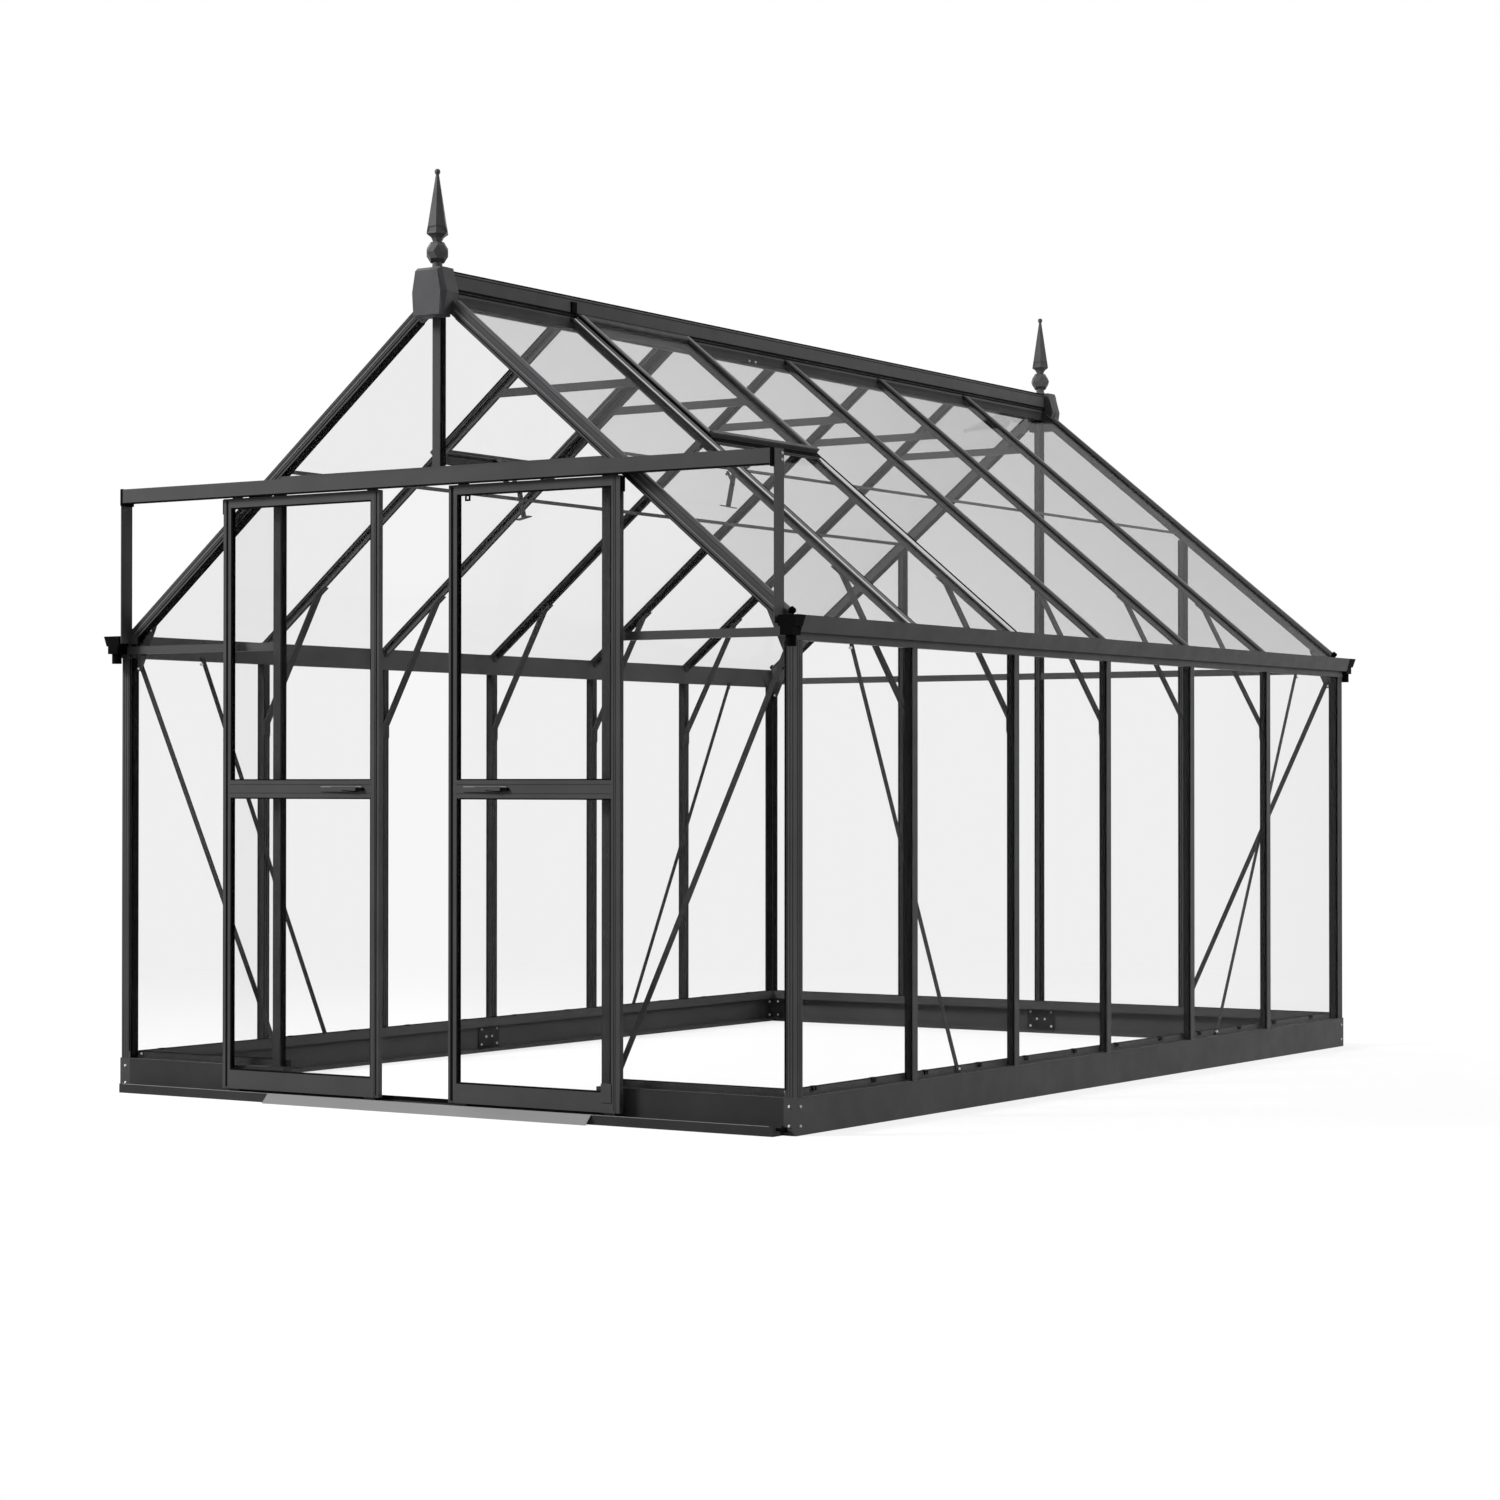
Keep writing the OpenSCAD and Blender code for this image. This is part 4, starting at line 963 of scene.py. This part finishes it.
@dataclass
class Bolts:
    """Zinc-plated hex bolts with washers, modelled once and copied to their joints."""

    house: House
    across: float = 0.0068
    head: float = 0.0036
    washer: float = 0.0044
    washer_t: float = 0.0011
    splice_mid: float = 0.0515
    splice: tuple[Pair, ...] = ((-0.045, -0.027), (-0.045, 0.027), (0.045, -0.027), (0.045, 0.027),
                                (-0.017, 0.0), (0.017, 0.0))
    gusset: tuple[Pair, ...] = ((1.1504, 1.4367), (1.1934, 1.4059), (1.2001, 1.3682), (1.2012, 1.3176))
    brace: tuple[Pair, ...] = ((-0.928, 0.1150), (-1.5455, 1.340), (0.857, 0.1150), (1.5335, 1.340))

    def bolt(self) -> Piece:
        """Model one bolt on +Z: a bevelled washer under a hex head with a chamfered, dished crown.

        Returns:
            The bolt, its foot at the origin.
        """
        w, t, h, flat = self.washer, self.washer_t, self.head, self.across / 2
        plate = turned([(w * 0.94, 0.0), (w, t * 0.4), (w * 0.94, t)], 12)
        head = turned([(flat, t * 0.6), (flat, h * 0.75), (flat * 0.82, h), (flat * 0.5, h),
                       (flat * 0.42, h * 0.86)], 6)
        return join([plate, head], "bolt")

    def group(self, name: str, spots: Iterable[Spot]) -> None:
        """Copy the bolt to a group's spots, each a point and the way that it faces."""
        fit(self.bolt(), name, [facing(point, out) for point, out in spots], ZINC)

    def base(self) -> None:
        """Bolt the base's corners and its splice plates."""
        h = self.house
        corners: list[Spot] = []
        for side, end in CORNERS:
            out_x, out_y = side * h.base_x, h.y(end * h.base_y)
            for z in (0.026, 0.079):
                x, y = side * (h.base_x - 0.022), h.y(end * (h.base_y - 0.022))
                corners += [((out_x, y, z), (side, 0, 0)), ((x, out_y, z), (0, end, 0))]
                x, y = side * (h.base_x - 0.0405), h.y(end * (h.base_y - 0.0405))
                in_x, in_y = x - side * 0.025, y - end * 0.025
                corners += [((x, in_y, z), (-side, 0, 0)), ((in_x, y, z), (0, -end, 0))]
        self.group("base_corner_bolts", corners)
        x, y, mid = h.base_x - 0.0065, h.y(h.base_y - 0.0065), self.splice_mid
        splices: list[Spot] = [
            ((side * x, h.y(along), mid + z), (-side, 0, 0)) for side in BOTH for along, z in self.splice]
        splices += [((along, y, mid + z), (0, -1, 0)) for along, z in self.splice]
        self.group("base_splice_bolts", splices)

    def frame(self) -> None:
        """Bolt the gusset plates, the braces' ends, the corner posts' feet, the header and the ridge."""
        h = self.house
        self.group("gusset_bolts", [
            ((side * x, h.y(end * y), z), (0, end * out, 0))
            for side, end in CORNERS for x, z in self.gusset for y, out in ((1.849, 1), (1.846, -1))])
        self.group("brace_bolts", [
            ((side * (h.inner_x + out * 0.0016), h.y(y), z), (side * out, 0, 0))
            for side in BOTH for y, z in self.brace for out in (1, -1)])
        self.group("post_foot_bolts", [
            ((side * 1.190, h.y(end * (h.base_y - 0.0365)), 0.1150), (0, end, 0)) for side, end in CORNERS])
        top = [((side * 1.2062, h.y(-1.8880), z), (side, 0, 0)) for side in BOTH for z in (1.8420, 1.8600)]
        top += [((side * 0.0252, h.y(y), 2.3670), (side, 0, 0)) for side in BOTH for y in (-0.235, -0.198)]
        self.group("header_and_ridge_bolts", top)

    def build(self) -> None:
        """Build the groups of bolts."""
        self.base()
        self.frame()


@dataclass
class SillClips:
    """Black clips that hold the side panes at the sill, two a bay."""

    house: House
    bays: int = 6
    shares: Pair = (0.18, 0.70)
    inset: float = 0.0375

    def clip(self) -> Piece:
        """Model one clip at the origin: a thin saddle on the upstand's top and a rounded body below it."""
        return join([slab((-0.005, -0.011, -0.002), (0.004, 0.011, 0.0025), 1.0),
                     slab((0.0015, -0.010, -0.012), (0.0085, 0.010, 0.0005), 2.6, 3)], "clip")

    def build(self) -> None:
        """Copy the clip to both side walls."""
        h = self.house
        x, bays = h.base_x - self.inset, range(self.bays)
        spots = [h.y((bay - self.bays / 2 + share) * h.bay) for bay in bays for share in self.shares]
        places = [shift(side * x, y, h.sill) @ mirror(side) for side in BOTH for y in spots]
        fit(self.clip(), "sill_clips", places, MOULDED_BLACK)


@dataclass
class HeaderFittings:
    """Draught strip and end caps of the header, stops of the track and a painted highlight on its edge, and
    the threshold seal.
    """

    house: House
    half: float = 1.203
    inset: float = 0.012
    front: float = -1.9125
    back: float = -1.8605
    low: float = 1.830
    high: float = 1.872
    doorway: float = 0.597

    def strips(self) -> None:
        """Build the draught strip under the header, the seal behind the doors and the painted highlight on the
        track's edge.
        """
        inner, door, front = self.half - self.inset, self.doorway, self.front
        for name, finish, low, high in (
                ("header_draught_strip", RUBBER,
                 (-inner, front, self.low - 0.003), (inner, front + 0.0022, self.low + 0.0005)),
                ("threshold_seal", RUBBER, (-door, -1.8650, 0.0260), (door, -1.8630, 0.0400)),
                # The track's edge strip is pale: a painted highlight.
                ("track_edge_highlight", HIGHLIGHT_COAT,
                 (-inner, front - 0.0004, 0.0264), (inner, front + 0.0020, 0.0284))):
            dress(join([slab(low, high, 0.4)], name), finish)

    def build(self) -> None:
        """Build the header's and the track's fittings."""
        h = self.house
        self.strips()
        cap = slab((self.half - 0.009, self.front - 0.0015, self.low - 0.009),
                   (self.half + 0.0008, self.back, self.high + 0.0015), 1.2)
        edit(cap, lambda middle, normal: normal.y < -STRAIGHT)
        bpy.ops.mesh.inset(thickness=0.002, depth=-0.0006)
        deselect()
        stop = turned([(0.0045, 0.0), (0.0045, 0.018), (0.0075, 0.019), (0.0085, 0.022), (0.0085, 0.030),
                       (0.0060, 0.033)], 14)
        foot = shift(self.half - self.inset, h.y(-h.base_y) - 0.012, 0.0165)
        stop.data.transform(foot @ turn(QUARTER, "Y"))
        for piece, name in ((cap, "header_end_caps"), (stop, "track_stops")):
            fit(piece, name, [Matrix(), mirror(-1)], MOULDED_BLACK)


@dataclass
class BaseTrims:
    """Pale strips on the upper edges of the base channels as a painted highlight, and the black seals on their
    upstands.
    """

    house: House
    edge: float = 0.0020
    upstand_in: float = 0.0385
    seal_half: float = 0.0022
    doorway: float = 0.640

    def build(self) -> None:
        """Build the edges, which are a painted highlight, and the seals."""
        h, half = self.house, self.seal_half
        edges, seals = [], []
        edge_z, seal_z = (h.base_h - 0.0014, h.base_h + 0.0004), (h.sill - 0.001, h.sill + 0.0016)
        length, seal_length = h.base_y, h.face_y - h.corner
        for side in BOTH:
            out, mid = side * h.base_x, side * (h.base_x - self.upstand_in)
            # Each edge strip is pale: a painted highlight along the channel's top edge.
            x = sorted((out, out - side * self.edge))
            edges.append(slab((x[0], h.y(-length), edge_z[0]), (x[1], h.y(length), edge_z[1]), 0.3))
            seals.append(slab((mid - half, h.y(-seal_length), seal_z[0]),
                              (mid + half, h.y(seal_length), seal_z[1]), 0.4))
        for end, start in zip(BOTH, (self.doorway, 0.0)):
            out, mid = h.y(end * h.base_y), h.y(end * (h.base_y - self.upstand_in))
            y = sorted((out, out - end * self.edge))
            for side in BOTH:
                x = sorted((side * start, side * (h.face_x - h.corner)))
                edges.append(slab((x[0], y[0], edge_z[0]), (x[1], y[1], edge_z[1]), 0.3))
                seals.append(slab((x[0], mid - half, seal_z[0]), (x[1], mid + half, seal_z[1]), 0.4))
        dress(join(edges, "base_edge_highlights"), HIGHLIGHT_COAT, slot=Slot.BASE)
        dress(join(seals, "base_upstand_seals"), RUBBER)


@dataclass
class SlidingDoor:
    """Gaskets, dark lines on the stiles as painted groove shade, pull handle with its painted highlight and
    shade, and small fittings of one sliding door.
    """

    name: str
    body: Body
    left: float
    hand: int
    latched: bool
    width: float = 0.608
    stile: float = 0.030
    front: float = -1.8975
    hollow: float = 0.027
    gasket: float = 0.0040
    panes: tuple[Pair, ...] = ((0.090, 0.916), (0.968, 1.796))
    seal_z: Pair = (0.040, 1.818)

    def at(self, across: float) -> float:
        """Return the x of a distance from the door's outer edge towards its meeting edge."""
        return self.left + across if self.hand < 0 else self.left + self.width - across

    def span(self, one: Point, two: Point) -> Spot:
        """Return the low and high corners of two points whose first number is from the outer edge."""
        ends = list(zip((self.at(one[0]), *one[1:]), (self.at(two[0]), *two[1:])))
        return [min(pair) for pair in ends], [max(pair) for pair in ends]

    def finish(self, piece: Piece, name: str, coat: Finish, stands_for: Sequence[str] = ()) -> None:
        """Name one of the door's pieces and dress it."""
        piece.name = piece.data.name = f"{self.name}_{name}"
        dress(piece, coat, self.body, stands_for)

    def gaskets(self) -> None:
        """Build the black gaskets round both panes, and the dark lines on the stiles' faces, which paint the
        shade of their grooves and flanks.
        """
        y, wide = self.front, self.width
        rims = []
        for low, high in self.panes:
            for near, far in ((y + 0.0012, y + 0.0069), (y + 0.0111, y + 0.0172)):
                rims.append(framed(*self.span((self.stile - 0.0002, near, low - 0.0002),
                                              (wide - self.stile + 0.0002, far, high + 0.0002)), self.gasket))
        # The strips on the stiles' faces are dark lines: painted shade of the stiles' grooves and flanks.
        seals = (((0.0205, 0.0015), (wide - 0.0170, 0.0090)) if self.latched
                 else ((0.0115, 0.0080), (wide - 0.0115, 0.0042)))
        for across, broad in seals:
            low, high = self.seal_z
            rims.append(slab(*self.span((across, y - 0.0003, low), (across + broad, y + 0.001, high)), 0.1))
        self.finish(join(rims, "rims"), "gaskets", RUBBER)

    def handle(self) -> None:
        """Build the pull: a blade that rises from the rail to a hollow end, with a pale crown on top as
        painted highlight, and black strips below and at the hollow end as painted shade.
        """
        low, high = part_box(f"{self.name}_handle")
        end, rise = high.x - self.hollow, (high.z - low.z) * 0.4
        blade = slab(low, (end, high.y, high.z), 0.5)
        # The crown is a pale strip on the blade's top: a painted highlight.
        crown = slab((low.x, low.y - 0.0005, high.z - 0.0026),
                     (high.x - 0.004, low.y + 0.0024, high.z + 0.0006), 0.4)
        # The shade is a black strip under the blade: painted shade.
        shade = slab((low.x + 0.012, low.y - 0.0003, low.z - 0.0004),
                     (end, low.y + 0.0030, low.z + 0.0030), 0.4)
        for piece, lift, shape in ((blade, 0.0, (1, 0.3, 1)), (crown, 0.0, (1, 0.3, 1)),
                                   (shade, rise * 0.9, (1, 0.3, 1)), (blade, 0.0, (1, 1, 0.6))):
            edit(piece, lambda middle, normal: normal.x < -0.6)
            bpy.ops.transform.translate(value=(0, 0, lift))
            bpy.ops.transform.resize(value=shape, center_override=(low.x, high.y, high.z))
            deselect()
        # The tip is a black block at the hollow end: painted shade in the hollow.
        tip = slab((end, low.y - 0.0006, low.z + 0.0030), (high.x, high.y, high.z - 0.0036), 1.8, 3)
        self.finish(blade, "pull", FRAME_COAT, [f"{self.name}_handle"])
        self.finish(crown, "pull_highlight", HIGHLIGHT_COAT)
        self.finish(join([shade, tip], "tip"), "pull_painted_shade", MOULDED_BLACK)

    def fittings(self) -> None:
        """Build the edge block, and on the latched door the lower cleat and the eye under the top rail."""
        y, stile, inner = self.front, self.stile, self.width - self.stile
        parts = [slab(*self.span((-0.008, y + 0.004, 1.778), (0.0005, y + 0.015, 1.823)), 1.2)]
        if self.latched:
            cleat = self.span((stile - 0.002, y - 0.002, 0.062), (stile + 0.034, y + 0.0006, 0.116))
            self.finish(slab(*cleat, 0.7), "cleat", FRAME_COAT)
            eye = self.span((inner - 0.018, y + 0.0150, 1.777), (inner - 0.037, y + 0.0172, 1.7965))
            parts.append(framed(*eye, 0.0055))
        self.finish(join(parts, "fittings"), "edge_fittings", MOULDED_BLACK)

    def build(self) -> None:
        """Build the door's pieces."""
        self.gaskets()
        self.handle()
        self.fittings()


@dataclass
class Finials:
    """Turned and faceted finials on the ridge's ends, in place of the plain solids."""

    house: House
    foot: float = 2.4655
    inset: float = 0.005
    ball_r: float = 0.0370
    ball_z: float = 0.0475
    ball_turn: Pair = (-0.5536, 0.670)
    facet_rise: float = 0.1159
    spire_turn: float = math.radians(30)
    neck: tuple[Pair, ...] = ((0.0185, 0.0), (0.0185, 0.003), (0.0152, 0.007), (0.0145, 0.022))
    flare: tuple[Pair, ...] = ((0.0125, 0.062), (0.0145, 0.080), (0.0190, 0.090), (0.0265, 0.097),
                               (0.0345, 0.1015), (0.0338, 0.105), (0.0305, 0.124), (0.0050, 0.278))
    notch_z: Pair = (0.108, 0.122)
    tip: tuple[Pair, ...] = ((0.0032, 0.2755), (0.0066, 0.2785), (0.0085, 0.2830), (0.0085, 0.2875),
                             (0.0066, 0.2915), (0.0026, 0.2938))

    def spire(self) -> Piece:
        """Model the flared six-sided spire, with a notch cut into the foot of each facet.

        Returns:
            The spire.
        """
        low, high = self.notch_z
        piece = turned(self.flare, 6)
        edit(piece, lambda middle, normal: low < middle.z < high and abs(normal.z) < 0.5)
        bpy.ops.mesh.inset(thickness=0.0048, depth=-0.0034, use_individual=True)
        bpy.ops.mesh.select_all(action="SELECT")
        bpy.ops.transform.rotate(value=self.spire_turn, orient_axis="Z", center_override=(0, 0, 0))
        deselect()
        return piece

    def ball(self) -> Piece:
        """Model the ball as thirty diamond facets: an icosahedron's sides are raised until pairs lie flat.

        Returns:
            The ball.
        """
        deselect()
        bpy.ops.mesh.primitive_ico_sphere_add(subdivisions=1, radius=self.ball_r,
                                              location=(0, 0, self.ball_z), rotation=(0, *self.ball_turn))
        piece = newest()
        edit(piece)
        bpy.ops.mesh.poke(offset=self.facet_rise * self.ball_r)
        bpy.ops.mesh.dissolve_limited(angle_limit=math.radians(2))
        bpy.ops.mesh.bevel(offset=0.0008, segments=1, affect="EDGES")
        deselect()
        return piece

    def build(self) -> None:
        """Build one finial and copy it to both ends of the ridge."""
        h = self.house
        neck, tip = turned(self.neck, 16), turned(self.tip, 12)
        whole = join([neck, self.ball(), self.spire(), tip], "finial")
        places = [shift(0, h.y(end * (h.face_y - self.inset)), self.foot) for end in BOTH]
        dress(repeat(whole, "ridge_finials", places), FINIAL_GLOSS, stands_for=["finials"])


@dataclass
class Studio:
    """The floor, the soft lamps, the world and the camera."""

    floor_half: float = 30.0
    ambient: float = 0.40
    camera_at: Point = (6.09085, -9.55799, 0.95487)
    camera_turn: Point = (QUARTER + 0.010423, -0.00027, 0.575603)
    lens_mm: float = 80.246
    sensor_mm: float = 36.0
    aim: Point = (0, 0, 1.0)
    lamps: tuple[tuple[str, Point, float, float], ...] = (
        ("right_softbox", (8.0, 5.0, 3.8), 4.0, 480.0),
        ("front_softbox", (-5.0, -6.5, 6.5), 3.0, 1300.0),
        ("rear_softbox", (-7.0, 5.0, 6.0), 5.0, 260.0))

    def floor(self) -> None:
        """Lay the white floor: a thin round slab with an eased rim, its top at the ground."""
        half = self.floor_half
        piece = turned([(half, -0.02), (half, -0.004), (half - 0.01, -0.0005)], 64)
        piece.name = "studio_floor"
        piece.data.materials.append(StudioFloor("matt_white_floor", "#f8f8f8", "#606060", 0.8).material())

    def world(self) -> None:
        """Light the world evenly, and show it white where the eye, metal or glass looks at it."""
        world = bpy.data.worlds.new("studio_world")
        world.use_nodes = True
        world.node_tree.nodes.clear()
        shader = Shader(world.node_tree)
        dim, white = (shader.add("Background", {"Color": linear(WHITE), "Strength": strength})[0]
                      for strength in (self.ambient, 1.0))
        shader.add("OutputWorld", {"Surface": shader.blend(shader.seen_rays(), dim, white)})
        bpy.context.scene.world = world

    def light(self) -> None:
        """Hang the soft lamps and turn them to the house."""
        for name, place, size, power in self.lamps:
            lamp = bpy.data.lights.new(name, "AREA")
            lamp.shape, lamp.size, lamp.energy = "DISK", size, power
            holder = bpy.data.objects.new(name, lamp)
            holder.location = place
            holder.rotation_euler = (Vector(self.aim) - Vector(place)).to_track_quat("-Z", "Y").to_euler()
            holder.visible_camera = holder.visible_glossy = holder.visible_transmission = False
            bpy.context.collection.objects.link(holder)

    def camera(self) -> None:
        """Set the camera at the photograph's viewing angle."""
        view = bpy.data.cameras.new("studio_camera")
        view.lens, view.sensor_width = self.lens_mm, self.sensor_mm
        holder = bpy.data.objects.new("studio_camera", view)
        holder.location, holder.rotation_euler = self.camera_at, Euler(self.camera_turn)
        bpy.context.collection.objects.link(holder)
        bpy.context.scene.camera = holder

    def build(self) -> None:
        """Set up the whole studio."""
        self.camera()
        self.floor()
        self.world()
        self.light()
        bpy.context.scene.view_settings.view_transform = "Standard"


def main() -> None:
    """Build the studio, the finishes and the fittings in order."""
    logging.basicConfig(level=logging.INFO, format="%(message)s")
    house = House()
    Studio().build()
    PackedFrame(frame["nodes"], frame["record"]).dress()
    trims = RoofTrims(house)
    GlazingSeals(house).build()
    trims.build()
    VentFurniture(house, trims).build()
    for fittings in (Finials, Bolts, SillClips, BaseTrims, HeaderFittings):
        fittings(house).build()
    SlidingDoor("left_door", Body.LEFT_DOOR, left=-0.791, hand=-1, latched=False).build()
    SlidingDoor("right_door", Body.RIGHT_DOOR, left=0.077, hand=1, latched=True).build()


if __name__ == "__main__":
    main()
